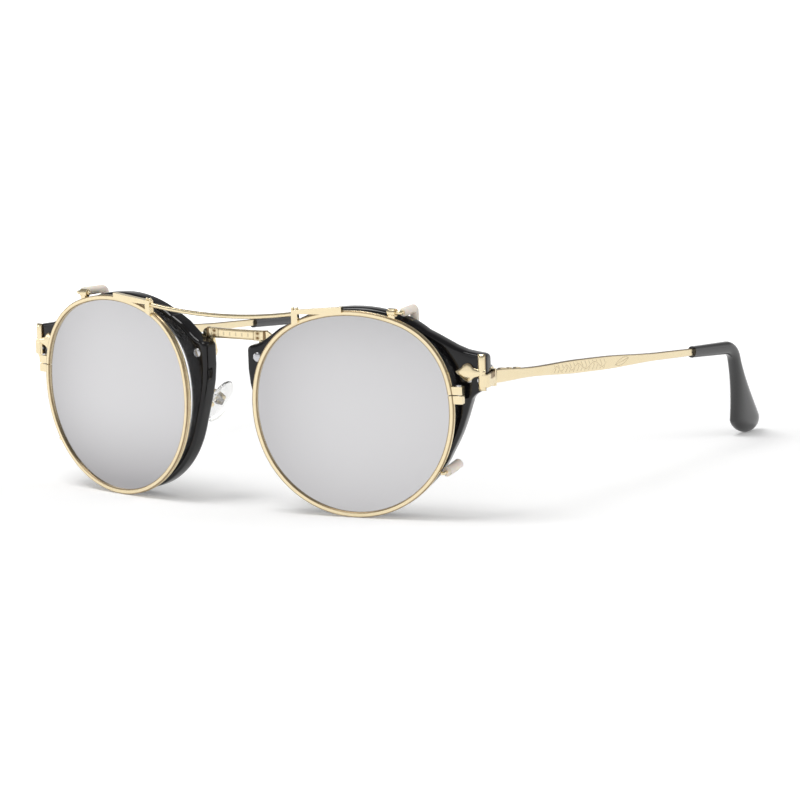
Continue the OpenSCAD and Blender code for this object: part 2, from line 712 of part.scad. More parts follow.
module clip_rim(side) {
    color("#ecd9a6") lens_frame(side) difference() {
        eye_slab(clip_e, clip_front, clip_back);
        eye_slab(clip_in_e, clip_front - over, clip_back + over);
        eye_slab(clip_in_e + clip_groove_depth, clip_mid - clip_groove_w / 2, clip_mid + clip_groove_w / 2);
        eye_ring(clip_e - clip_line_depth, clip_e + over, clip_mid - clip_line_w / 2, clip_mid + clip_line_w / 2);
        translate([eye_r, clip_front - over, lock_z - split_gap / 2])
            cube([eye_r, clip_wire_t + 2 * over, split_gap]);
    }
}

module clip_lens(side) {
    edge_sag = sag(mirror_curve_r) * pow((eye_r + clip_in_e) / eye_r, 2);
    color("#c9c9cd") lens_frame(side) union() {
        dome(mirror_curve_r, mirror_t, clip_mid - mirror_t / 2 - edge_sag, clip_in_e - slip);
        eye_ring(clip_in_e - 1.5, clip_in_e + clip_groove_depth - slip,
            clip_mid - clip_groove_w / 2 + slip, clip_mid + clip_groove_w / 2 - slip);
    }
}

// Closing blocks: two lugs on the rim's ends, drawn together by a screw
lock_u = side_c[0] + side_r + clip_e;
lock_t = clip_wire_t - 0.3;
lock_screw_d = 0.9;
lock_screw_u = lock_u - 0.2 + lock_w * 0.6;

module clip_lock(side) {
    color("#ecd9a6") lens_frame(side) difference() {
        slab(clip_mid - lock_t / 2, clip_mid + lock_t / 2) difference() {
            translate([lock_u - 0.6, lock_z - lock_h / 2]) square([lock_w + 0.6, lock_h]);
            polygon(eye_outline(clip_e));
            translate([0, lock_z - split_gap / 2]) square([2 * lock_u, split_gap]);
        }
        translate([lock_screw_u, clip_mid, lock_z - lock_h]) cylinder(d = lock_screw_d + 2 * slip, h = 2 * lock_h, $fn = 24);
    }
}

module clip_lock_screws() {
    color("#b9b9bd") for (side = [left, right]) lens_frame(side)
        translate([lock_screw_u, clip_mid, lock_z - lock_h / 2]) {
        cylinder(d = lock_screw_d, h = lock_h, $fn = 24);
        translate([0, 0, lock_h]) cylinder(d = lock_screw_d + 0.5, h = 0.35, $fn = 24);
    }
}

// Bar: a shallow arc between the posts
module clip_bar() {
    color("#ecd9a6") difference() {
        translate([0, post_at[1], post_at[2] + bar_arc_r - bar_sag]) rotate([90, 0, 0])
            rotate([0, 0, -90 - bar_angle]) rotate_extrude(angle = 2 * bar_angle, $fn = 720)
            translate([bar_arc_r, 0]) circle(d = bar_d, $fn = 24);
        for (side = [left, right]) lens_frame(side) slab(strip_mid - strip_t, strip_mid + strip_t)
            translate([post_u - post_w / 2, bar_end_w - 2 * bar_d]) square([2 * post_w, 4 * bar_d]);
    }
}

// Post: a foot on the rim, two small knobs on top, and the strip to the rim's top
module clip_post(side) {
    color("#ecd9a6") lens_frame(side) difference() {
        union() {
            slab(strip_mid - strip_t / 2, strip_mid + strip_t / 2) union() {
                translate([post_u - post_w / 2, post_foot - 1.2]) square([post_w, bar_end_w - post_foot + 1.2 + post_rise]);
                polygon([[post_u, bar_end_w + post_rise], [post_u, bar_end_w + post_rise - strip_h],
                    [strip_u - 4, outline_w(strip_u - 4, clip_e) - 0.5], [strip_u, outline_w(strip_u, clip_e) - 0.5],
                    [strip_u, outline_w(strip_u, clip_e) + strip_h]]);
            }
            for (du = [-post_w / 3, post_w / 3])
                translate([post_u + du, strip_mid, bar_end_w + post_rise + 0.2]) sphere(d = 0.9, $fn = 24);
        }
        eye_slab(clip_e, clip_front, clip_back + over);
        eye_slab(clip_e - 0.7, clip_front - over - strip_t, clip_back);
    }
}

// Barrels on the clip rims turn on the pins of the top hooks
module clip_barrel(side) {
    color("#ecd9a6") difference() {
        union() {
            on_side(side) translate([barrel_x - barrel_l / 2, pin_y, flip_z]) rotate([0, 90, 0])
                cylinder(d = barrel_d, h = barrel_l);
            barrel_foot(side);
        }
        on_side(side) translate([barrel_x - barrel_l, pin_y, flip_z]) rotate([0, 90, 0])
            cylinder(d = hook_wire_d + 2 * running, h = 2 * barrel_l);
    }
}

module barrel_foot(side) {
    foot_u = (barrel_x - lens_x) / cos(wrap);
    lens_frame(side) slab(clip_mid - 0.6, clip_mid + 0.6) difference() {
        translate([foot_u - 0.8 + clip_mid * tan(wrap), outline_w(foot_u, clip_e) - 1]) square([1.6, 2]);
        polygon(eye_outline(clip_e));
    }
}

// Top hook: a pin through the barrel, an arm over the acetate, and a short drop
hook_bend = [0, 0, 0];
hook_back = [0, hook_arm_l, 0];
hook_down = [0, 0, -top_hook_drop];
hook_pin_l = top_hook_x - barrel_x + barrel_l / 2 + 0.6;

// Starts at the bend between pin and arm, with the arm along Y
module hook_frame(side) {
    on_side(side) translate([top_hook_x, pin_y, flip_z]) rotate([0, 0, wrap]) children();
}

module top_hook(side) {
    color("#ecd9a6") {
        on_side(side) translate([top_hook_x - hook_pin_l, pin_y, flip_z]) rotate([0, 90, 0])
            cylinder(d = hook_wire_d, h = hook_pin_l, $fn = 24);
        hook_frame(side) {
            bead(hook_bend, hook_wire_d);
            link(hook_bend, hook_back, hook_wire_d);
            bead(hook_back, hook_wire_d);
            link(hook_back, hook_back + hook_down, hook_wire_d);
        }
    }
}

module top_sleeve(side) {
    color("#e3d9c4") hook_frame(side) difference() {
        sleeve_body([0, sleeve_start, 0], hook_back, hook_back + hook_down - [0, 0, 0.3], sleeve_d);
        sleeve_body(hook_bend, hook_back, hook_back + hook_down - [0, 0, 0.05], hook_wire_d + 2 * slip);
    }
}

module sleeve_body(a, b, c, d) {
    link(a, b, d);
    bead(b, d);
    link(b, c, d);
}

// Lower hook: an arc about the swing axis, so that the swing moves it along itself
module swing_arc(from, to, d) {
    translate([low_hook_x, pin_y, flip_z]) rotate([0, 90, 0]) rotate([0, 0, from])
        rotate_extrude(angle = to - from, $fn = 96) translate([swing_r, 0]) circle(d = d, $fn = 24);
}

module low_hook(side) {
    color("#ecd9a6") difference() {
        on_side(side) {
            translate([low_hook_x - low_root_l, low_start[1], low_start[2]]) rotate([0, 90, 0])
                cylinder(d = low_root_d, h = low_root_l + low_root_d / 2, $fn = 24);
            swing_arc(swing_from, swing_to, hook_wire_d);
        }
        lens_frame(side) eye_slab(clip_e, clip_front - over, clip_back + over);
    }
}

module low_sleeve(side) {
    color("#e3d9c4") on_side(side) difference() {
        swing_arc(swing_from + 2, swing_to + 1, low_sleeve_d);
        swing_arc(swing_from, swing_to, hook_wire_d + 2 * slip);
    }
}

rim(left);  // rim_left
rim(right);  // rim_right
clear_lens(left);  // lens_left
clear_lens(right);  // lens_right
bridge();
bridge_rivets();
pad_arm(left);  // pad_arm_left
pad_arm(right);  // pad_arm_right
nose_pad(left);  // nose_pad_left
nose_pad(right);  // nose_pad_right
pad_screws();
arrow_plate(left);  // arrow_plate_left
arrow_plate(right);  // arrow_plate_right
hinge_front(left);  // hinge_front_left
hinge_front(right);  // hinge_front_right
hinge_rivets();
hinge_screw(left);  // hinge_screw_left
hinge_screw(right);  // hinge_screw_right
temple(left);  // temple_left
temple(right);  // temple_right
temple_tip(left);  // temple_tip_left
temple_tip(right);  // temple_tip_right
clip_rim(left);  // clip_rim_left
clip_rim(right);  // clip_rim_right
clip_lens(left);  // clip_lens_left
clip_lens(right);  // clip_lens_right
clip_bar();
clip_post(left);  // clip_post_left
clip_post(right);  // clip_post_right
clip_lock(left);  // clip_lock_left
clip_lock(right);  // clip_lock_right
clip_lock_screws();
clip_barrel(left);  // clip_barrel_left
clip_barrel(right);  // clip_barrel_right
top_hook(left);  // top_hook_left
top_hook(right);  // top_hook_right
top_sleeve(left);  // top_sleeve_left
top_sleeve(right);  // top_sleeve_right
low_hook(left);  // low_hook_left
low_hook(right);  // low_hook_right
low_sleeve(left);  // low_sleeve_left
low_sleeve(right);  // low_sleeve_right
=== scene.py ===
import json
import math

import bmesh
import bpy
import numpy as np
from bpy.props import FloatProperty, FloatVectorProperty, PointerProperty
from mathutils import Matrix, Vector


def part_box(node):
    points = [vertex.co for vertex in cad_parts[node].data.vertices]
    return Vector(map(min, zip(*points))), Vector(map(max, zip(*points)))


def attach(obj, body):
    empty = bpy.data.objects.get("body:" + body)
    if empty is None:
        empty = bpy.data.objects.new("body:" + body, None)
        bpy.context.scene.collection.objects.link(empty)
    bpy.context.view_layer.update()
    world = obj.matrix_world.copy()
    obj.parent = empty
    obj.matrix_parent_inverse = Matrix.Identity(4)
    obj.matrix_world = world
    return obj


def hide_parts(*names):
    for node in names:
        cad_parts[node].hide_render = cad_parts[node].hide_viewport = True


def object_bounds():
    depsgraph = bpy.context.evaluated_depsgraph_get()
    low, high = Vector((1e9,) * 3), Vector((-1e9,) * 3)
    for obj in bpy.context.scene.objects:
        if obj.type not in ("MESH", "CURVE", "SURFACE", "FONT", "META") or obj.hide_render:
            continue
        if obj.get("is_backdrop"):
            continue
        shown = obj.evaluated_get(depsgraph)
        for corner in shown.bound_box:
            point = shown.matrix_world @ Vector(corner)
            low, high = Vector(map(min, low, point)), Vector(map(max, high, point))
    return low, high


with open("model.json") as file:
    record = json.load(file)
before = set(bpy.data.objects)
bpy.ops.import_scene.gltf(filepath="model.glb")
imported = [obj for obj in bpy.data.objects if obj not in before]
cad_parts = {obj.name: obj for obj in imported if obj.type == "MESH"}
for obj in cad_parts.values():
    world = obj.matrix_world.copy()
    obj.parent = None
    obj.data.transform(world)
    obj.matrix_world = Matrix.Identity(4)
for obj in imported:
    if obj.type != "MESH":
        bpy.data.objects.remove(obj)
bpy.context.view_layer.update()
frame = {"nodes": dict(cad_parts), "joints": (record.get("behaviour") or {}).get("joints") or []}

bl_info = {
    "name": "Flip-up sunglasses",
    "version": (1, 0, 0),
    "blender": (4, 5, 0),
    "location": "3D View > Sidebar > Glasses",
    "description": "Dresses the glasses' frame in acetate, gold metal, mirror lenses and rubber",
    "category": "Object",
}

MM = 0.001
PINS = {joint["name"]: np.array(joint["pos_m"]) for joint in frame["joints"]}
FOLD, FLIP, ROCK = PINS["temple_left_fold"], PINS["clip_flip"], PINS["pad_left_rock"]
SIDES = (("left", 1), ("right", -1))
FINISHES = {}


def mm(name, description, size):
    """A length property whose default is given in millimetres."""
    return FloatProperty(name=name, description=description, default=size * MM, unit="LENGTH", precision=5)


def angle(name, description, degrees):
    """An angle property whose default is given in degrees."""
    return FloatProperty(name=name, description=description, default=math.radians(degrees), unit="ROTATION")


def colour(name, description, rgb):
    """A linear colour property."""
    return FloatVectorProperty(name=name, description=description, default=rgb, size=3, subtype="COLOR",
                               min=0, max=1)


class GlassesSizes(bpy.types.PropertyGroup):
    """Sizes of the glasses, the same as in the part's source"""
    lens_x: mm("Lens offset", "Nose middle to each lens centre", 34.2)
    wrap: angle("Wrap", "How far each rim turns back", 11.2)
    tilt: angle("Tilt", "How far the top leans forwards", 2)
    eye_r: mm("Eye radius", "Radius of the eye's lower half", 22.3)
    side_bulge: mm("Side bulge", "Extra radius along the sides", 4.3)
    corner_sharpen: mm("Corner sharpening", "Radius taken off at the upper corners", 5.7)
    rim_w: mm("Rim width", "Acetate around the eye", 3.2)
    rim_lift: mm("Rim lift", "How much higher the rim's outline sits", 0.35)
    rim_t: mm("Rim depth", "Acetate from front to back", 4.4)
    rim_round: mm("Edge rounding", "Radius of the acetate's outer edges", 1.1)
    bevel_d: mm("Eye bevel depth", "Depth of the bevel round the eye", 0.7)
    bevel_w: mm("Eye bevel width", "Width of the bevel round the eye", 1.2)
    lens_t: mm("Lens thickness", "Thickness of the clear lenses", 2)
    lens_curve: mm("Lens curve", "Radius of the clear faces", 160)
    clip_e: mm("Clip rim offset", "Eye opening to the clip rim's outside", 3.4)
    clip_w: mm("Clip rim width", "Clip wire seen from the front", 1.25)
    clip_t: mm("Clip rim depth", "Clip wire from front to back", 2.2)
    clip_gap: mm("Clip gap", "Clip rim to acetate", 2.1)
    mirror_t: mm("Mirror thickness", "Thickness of the mirror lenses", 1.1)
    mirror_curve: mm("Mirror curve", "Radius of the mirror faces", 300)
    split_at: angle("Split place", "Direction of the slit in the clip rim", 7.29)
    split: mm("Rim split", "Slit at the closing block", 0.25)
    endpiece_u: mm("Endpiece reach", "Lens centre to the endpiece's end", 33)
    endpiece_w: mm("Endpiece height", "Endpiece over the lens centre", 10.3)
    endpiece_h: mm("Endpiece size", "Height of the endpiece", 8.6)
    nose_u: mm("Nose face", "Lens centre to the nose face", 28.6)
    arrow_t: mm("Arrow plate", "Thickness of the arrow plate", 0.8)
    hinge_plate_t: mm("Hinge plate", "Plate behind the endpiece", 0.8)
    hinge_d: mm("Hinge barrel", "Diameter of the hinge barrel", 2.6)
    hinge_h: mm("Hinge height", "Height of the hinge barrel", 4.2)
    hinge_drop: mm("Hinge drop", "Hinge under the middle of the endpiece", 2)
    air: mm("Air", "Space between moving pieces", 0.3)
    band_l: mm("Band length", "Hinge pin to the black tip", 98.8)
    band_t: mm("Band thickness", "Thickness of the temple band", 1.2)
    band_front: mm("Band at hinge", "Height of the band at the hinge", 3.3)
    band_neck: mm("Band at neck", "Height of the band at its neck", 2.4)
    band_leaf: mm("Band at middle", "Height of the band at the engraving", 3.4)
    band_rear: mm("Band at tip", "Height of the band at the tip", 1.9)
    splay: angle("Temple splay", "How far the temples spread", 2.2)
    drop: angle("Temple drop", "How far the temples drop", 4.1)
    engraving: mm("Engraving", "Depth of the engraved vine", 0.07)
    tip_straight: mm("Tip straight", "Straight part of the tip", 19)
    tip_bend_r: mm("Tip bend radius", "Radius of the bend over the ear", 7.5)
    tip_bend: angle("Tip bend", "Angle of the bend over the ear", 54)
    tip_cant: angle("Tip cant", "How far the bent end leans inwards", 9)
    tip_w_start: mm("Tip start", "Width of the tip's start", 3.1)
    tip_w_end: mm("Paddle width", "Widest part of the paddle", 15)
    tip_t: mm("Paddle thickness", "Thickness of the paddle", 4)
    pad_l: mm("Pad length", "Length of each nose pad", 12.5)
    pad_w: mm("Pad width", "Width of each nose pad", 6)
    pad_t: mm("Pad thickness", "Thickness of each nose pad", 2)
    pad_stem: mm("Pad stem", "Pad pivot to the pad's outer face", 1.5)
    pad_flare: angle("Pad flare", "How far a pad's lower end leans outwards", 31)
    pad_splay: angle("Pad splay", "How far a pad's rear edge turns outwards", 26)
    bridge_h: mm("Bridge height", "Height of the bridge bar", 2.7)
    bridge_t: mm("Bridge thickness", "Thickness of the bridge bar", 1.6)
    bridge_z: mm("Bridge place", "Bridge over the lens centres", 16.7)
    rivet_u: mm("Rivet offset", "Lens centre to each bridge rivet", 25.8)
    rivet_w: mm("Rivet height", "Bridge rivets over the lens centre", 12.3)
    post_x: mm("Post offset", "Nose middle to each end of the bar", 21.5)
    post_w: mm("Post width", "Width of each end post", 1.6)
    bar_d: mm("Bar", "Diameter of the clip-on bar", 1.1)
    bar_sag: mm("Bar sag", "How far the bar hangs", 1.6)
    wire_d: mm("Hook wire", "Diameter of the hook wire", 0.9)
    sleeve_d: mm("Sleeve", "Diameter of the top sleeves", 2.2)
    low_sleeve_d: mm("Lower sleeve", "Diameter of the lower sleeves", 2.4)
    hook_x: mm("Top hook offset", "Nose middle to the top hooks", 47.8)
    hook_drop: mm("Top hook drop", "Top hooks behind the acetate", 3.6)
    low_x: mm("Lower hook offset", "Nose middle to the lower hooks", 57)


class GlassesColours(bpy.types.PropertyGroup):
    """Colours of the glasses' finishes"""
    acetate: colour("Acetate", "Polished black acetate", (0.0045, 0.0043, 0.005))
    tip: colour("Tips", "Polished dark tips", (0.007, 0.007, 0.0075))
    gold: colour("Gold", "Polished pale gold", (0.885, 0.745, 0.475))
    worn_gold: colour("Worn gold", "Gold where it is rubbed bright", (0.915, 0.79, 0.545))
    # The brown is also painted shade: on wire corners, the band's top and bottom faces, strip edges, the tab's
    # notch and the bridge.
    patina_and_painted_shade: colour("Patina", "Brown in the gold's corners and lines", (0.20, 0.115, 0.045))
    silver: colour("Silver", "Screws and rivets", (0.66, 0.66, 0.68))
    mirror: colour("Mirror", "Middle of the mirror lenses", (0.655, 0.65, 0.66))
    # Colour of the painted shade at the mirror lenses' edges and bottoms, standing in for darker reflections.
    mirror_painted_shade: colour("Mirror edge", "Edge of the mirror lenses", (0.40, 0.393, 0.405))
    sleeve: colour("Sleeves", "Cream rubber", (0.98, 0.82, 0.70))
    clear: colour("Clear", "Clear lenses and pads", (0.97, 0.975, 0.97))
    floor: colour("Floor", "White floor", (0.9, 0.9, 0.9))


# ---- shapes


def eye_point(phi, e, s):
    """The eye curve pushed outwards by e. On the right half the normal turns through phi = -90 to 90
    degrees over four arcs that meet smoothly: point = centre + (radius + e) * (cos phi, sin phi).
    The left half is the same with u turned over."""
    side_r, corner_r = s.eye_r + s.side_bulge, s.eye_r - s.corner_sharpen
    lo, mid, hi = np.radians([-20, 15, 70])
    side_u, side_w = -s.side_bulge * np.cos(lo), -s.side_bulge * np.sin(lo)
    corner_u, corner_w = side_u + (side_r - corner_r) * np.cos(mid), side_w + (side_r - corner_r) * np.sin(mid)
    psi = np.arcsin(np.clip(np.sin(phi), -1, 1))
    zones = [psi < lo, psi < mid, psi < hi]
    r = np.select(zones, [s.eye_r, side_r, corner_r], corner_r + corner_u / np.cos(hi))
    u = np.select(zones, [0, side_u, corner_u], 0) + (r + e) * np.cos(psi)
    w = np.select(zones, [0, side_w, corner_w], corner_w - corner_u * np.tan(hi)) + (r + e) * np.sin(psi)
    return np.where(np.cos(phi) < 0, -u, u), w


def spin(a, b, turn):
    """The pair (a, b) turned by an angle."""
    return a * math.cos(turn) - b * math.sin(turn), a * math.sin(turn) + b * math.cos(turn)


def unit(value):
    """A value kept between 0 and 1."""
    return np.clip(value, 0, 1)


def bell(distance, width):
    """A bell curve: 1 on a line and 0 far from it."""
    return np.exp(-(distance / width) ** 2)


def placed(x, y, z, pin, side):
    """Points from their coordinates, set on a pin and mirrored for the other side."""
    return (np.stack(np.broadcast_arrays(x, y, z), axis=-1) + pin) * [side, 1, 1]


def around(n, start=0.0):
    """Angles that go once round in n even steps."""
    return np.linspace(start, start + math.tau, n, endpoint=False)


def in_part(u, w, d, side, s):
    """A point of a lens frame in the part's frame: turned by the wrap about the upright, tipped by the
    tilt about X, moved out to the lens centre, and mirrored for the other side."""
    x, y = spin(u, d, s.wrap)
    y, z = spin(y, w, s.tilt)
    return placed(x, y, z, [s.lens_x, 0, 0], side)


def quads(rows, columns, ring_rows, ring_columns, first=0):
    """Corner numbers of the faces of a grid, closed along rows or columns where asked."""
    i, j = np.meshgrid(np.arange(rows if ring_rows else rows - 1),
                       np.arange(columns if ring_columns else columns - 1), indexing="ij")
    i2, j2 = (i + 1) % rows, (j + 1) % columns
    corners = np.stack([i * columns + j, i * columns + j2, i2 * columns + j2, i2 * columns + j], axis=-1)
    return (corners + first).reshape(-1, 4)


def linked(name, data):
    """A new object in the scene."""
    thing = bpy.data.objects.new(name, data)
    bpy.context.scene.collection.objects.link(thing)
    return thing


def finished(mesh, name, body, node, slot, smooth):
    """Makes a mesh a piece: its finish and shading, its body, and the CAD node that it stands for."""
    mesh.shade_smooth()
    mesh.set_sharp_from_angle(angle=math.radians(smooth))
    mesh.materials.clear()
    mesh.materials.append(FINISHES[slot])
    piece = linked(name, mesh)
    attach(piece, body)
    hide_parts(node)
    return piece


class Shell:
    """Vertices and faces of a piece, gathered from grids, with one shade value for each vertex."""

    def __init__(self):
        self.points, self.faces, self.shades, self.count = [], [], [], 0

    def add(self, points, faces, shade=0.0):
        """Adds one closed form and turns its faces outwards, by the sign of its volume."""
        points = points.reshape(-1, 3)
        volume = 0.0
        for block in faces:
            a, b, c, last = points[block[:, [0, 1, 2, -1]].T]
            volume += np.einsum("ij,ij->", a, np.cross(b, c) + np.cross(c, last))
        self.faces += [(block if volume > 0 else block[:, ::-1]) + self.count for block in faces]
        self.points.append(points)
        self.shades.append(np.broadcast_to(np.asarray(shade, float).reshape(-1), len(points)))
        self.count += len(points)
        return self

    def ring(self, grid):
        """A form like a bent tyre: a grid that closes both ways."""
        return self.add(grid, [quads(*grid.shape[:2], True, True)])

    def tube(self, grid, shade=0.0):
        """A form like a rod: rings in rows, with a fan of triangles over each end."""
        rows, columns = grid.shape[:2]
        points = np.concatenate([grid.reshape(-1, 3), [grid[0].mean(0), grid[-1].mean(0)]])
        j = np.arange(columns)
        j2, last, hub = (j + 1) % columns, (rows - 1) * columns, rows * columns
        near = np.stack([0 * j + hub, j2, j], axis=-1)
        far = np.stack([0 * j + hub + 1, last + j, last + j2], axis=-1)
        if np.ndim(shade):
            shade = np.concatenate([np.asarray(shade).reshape(-1), [0, 0]])
        return self.add(points, [quads(rows, columns, False, True), near, far], shade)

    def make(self, name, body, node, slot, smooth=40):
        """Puts the gathered forms into one mesh and makes it a piece."""
        mesh = bpy.data.meshes.new(name)
        faces = [face for block in self.faces for face in block.tolist()]
        mesh.from_pydata(np.concatenate(self.points).tolist(), [], faces)
        shade = mesh.attributes.new("patina_and_painted_shade", "FLOAT", "POINT")
        shade.data.foreach_set("value", np.concatenate(self.shades).astype(np.float32))
        mesh.validate()
        return finished(mesh, name, body, node, slot, smooth)


def box_section(a, b, r, face=6, corner=5):
    """Around a rectangle of half sizes a and b with corners of radius r: each corner arc is its centre
    plus r * (cos, sin), and the straight sides between are evenly divided."""
    turn = np.linspace(0, math.pi / 2, corner) + np.arange(4)[:, None] * math.pi / 2
    middle = np.array([[1, 1], [-1, 1], [-1, -1], [1, -1]]) * [a - r, b - r]
    arcs = middle[:, None] + r * np.stack([np.cos(turn), np.sin(turn)], axis=-1)
    last, first = arcs[:, -1:], np.roll(arcs, -1, axis=0)[:, :1]
    sides = last + (first - last) * np.linspace(0, 1, face + 2)[1:-1, None]
    return np.concatenate([arcs, sides], axis=1).reshape(-1, 2).T


def rounded_path(corners, radius, step):
    """A path through corner points whose corners become quadratic bends: each bend starts and ends
    radius away from its corner."""
    corners = np.asarray(corners, float)
    path = [corners[:1]]
    t = np.linspace(0, 1, step)[:, None]
    for before, here, after in zip(corners[:-2], corners[1:-1], corners[2:]):
        a = here + (before - here) / np.linalg.norm(before - here) * radius
        b = here + (after - here) / np.linalg.norm(after - here) * radius
        path.append((1 - t) ** 2 * a + 2 * t * (1 - t) * here + t ** 2 * b)
    path.append(corners[-1:])
    return np.concatenate(path)


def wire(path, d, n):
    """A round wire along a path, whose radius shrinks at both ends as a quarter circle. The first side
    vector is square to the path, and each next one is the one before with its part along the path
    taken off."""
    q = np.linspace(0, math.pi / 2, 6)
    lead, cap = 0.3 * d * (np.sin(q) - 1), np.cos(0.97 * q)
    ends = []
    for tip_point, inner in ((path[0], path[1]), (path[-1], path[-2])):
        out = (tip_point - inner) / np.linalg.norm(tip_point - inner)
        ends.append(tip_point + out * lead[:, None])
    path = np.concatenate([ends[0][::-1], path[1:-1], ends[1]])
    size = d / 2 * np.concatenate([cap[::-1], np.ones(len(path) - 12), cap])
    way = np.gradient(path, axis=0)
    way /= np.linalg.norm(way, axis=1)[:, None]
    side, sides = np.cross(way[0], [0.3, 0.2, 0.93]), []
    for w in way:
        side = side - w * np.dot(side, w)
        side = side / np.linalg.norm(side)
        sides.append(side)
    side, turn = np.array(sides)[:, None], around(n)[:, None]
    up = np.cross(way, sides)[:, None]
    return path[:, None] + size[:, None, None] * (np.cos(turn) * side + np.sin(turn) * up)


# ---- materials


class Value:
    """A number socket that takes part in Python sums: each operation adds one Math node."""

    def __init__(self, nodes, socket):
        self.nodes, self.socket = nodes, socket

    def sum(self, kind, a, b):
        return Value(self.nodes, self.nodes.node("Math", {0: a, 1: b}, operation=kind).outputs[0])

    def above(self, low, high, before=0.0, after=1.0):
        """One value under low, another over high, and a smooth change between."""
        node = self.nodes.node("MapRange", {0: self, 1: low, 2: high, 3: before, 4: after},
                               interpolation_type="SMOOTHSTEP", clamp=True)
        return Value(self.nodes, node.outputs[0])


for sign, kind in (("add", "ADD"), ("sub", "SUBTRACT"), ("mul", "MULTIPLY"), ("pow", "POWER")):
    setattr(Value, f"__{sign}__", lambda self, other, kind=kind: self.sum(kind, self, other))
    setattr(Value, f"__r{sign}__", lambda self, other, kind=kind: self.sum(kind, other, self))


class Nodes:
    """The nodes of a material or of the world."""

    def __init__(self, owner):
        owner.use_nodes = True
        self.tree = owner.node_tree

    def node(self, kind, inputs=None, **settings):
        """Adds a shader node: its settings first, then the values or links of its sockets."""
        node = self.tree.nodes.new("ShaderNode" + kind)
        for key, value in settings.items():
            setattr(node, key, value)
        for key, value in (inputs or {}).items():
            self.give(node.inputs[key], value)
        return node

    def give(self, socket, value):
        """Links a socket, or gives it a value."""
        value = value.socket if isinstance(value, Value) else value
        if isinstance(value, bpy.types.NodeSocket):
            self.tree.links.new(value, socket)
        else:
            socket.default_value = value

    def part(self, coordinates, axis):
        """One axis of the Object or Generated coordinates."""
        place = self.node("TexCoord").outputs[coordinates]
        return Value(self, self.node("SeparateXYZ", {0: place}).outputs[axis])


class Finish(Nodes):
    """A material with one Principled shader, kept under the name of its slot."""

    def __init__(self, slot, name, **fixed):
        FINISHES[slot] = material = bpy.data.materials.new(name)
        super().__init__(material)
        self.shader = self.tree.nodes["Principled BSDF"]
        self.feed(**fixed)

    def feed(self, **sockets):
        """Sets the shader's sockets, or links what varies over the surface to them."""
        for key, value in sockets.items():
            self.give(self.shader.inputs[key.replace("_", " ")], value)

    def noise(self, scale, detail, stretch=(1, 1, 1)):
        """Noise between 0 and 1 in Object coordinates: lumps in a metre, and a stretch along each axis."""
        place = self.node("TexCoord").outputs["Object"]
        where = self.node("Mapping", {0: place, 3: stretch}).outputs[0]
        noise = self.node("TexNoise", {"Vector": where, "Scale": scale, "Detail": detail})
        return Value(self, noise.outputs[0])

    def mask(self):
        """The piece's own shade value: patina, and painted shade on the gold and on the mirror lenses."""
        node = self.node("Attribute", attribute_name="patina_and_painted_shade", attribute_type="GEOMETRY")
        return Value(self, node.outputs["Fac"])

    def mix(self, amount, a, b):
        """A colour between a and b."""
        a, b = (v if isinstance(v, bpy.types.NodeSocket) else (*v, 1.0) for v in (a, b))
        return self.node("Mix", {0: amount, 6: a, 7: b}, data_type="RGBA").outputs[2]

    def bump(self, height, distance, strength):
        node = self.node("Bump", {"Height": height, "Distance": distance, "Strength": strength})
        self.feed(Normal=node.outputs[0])


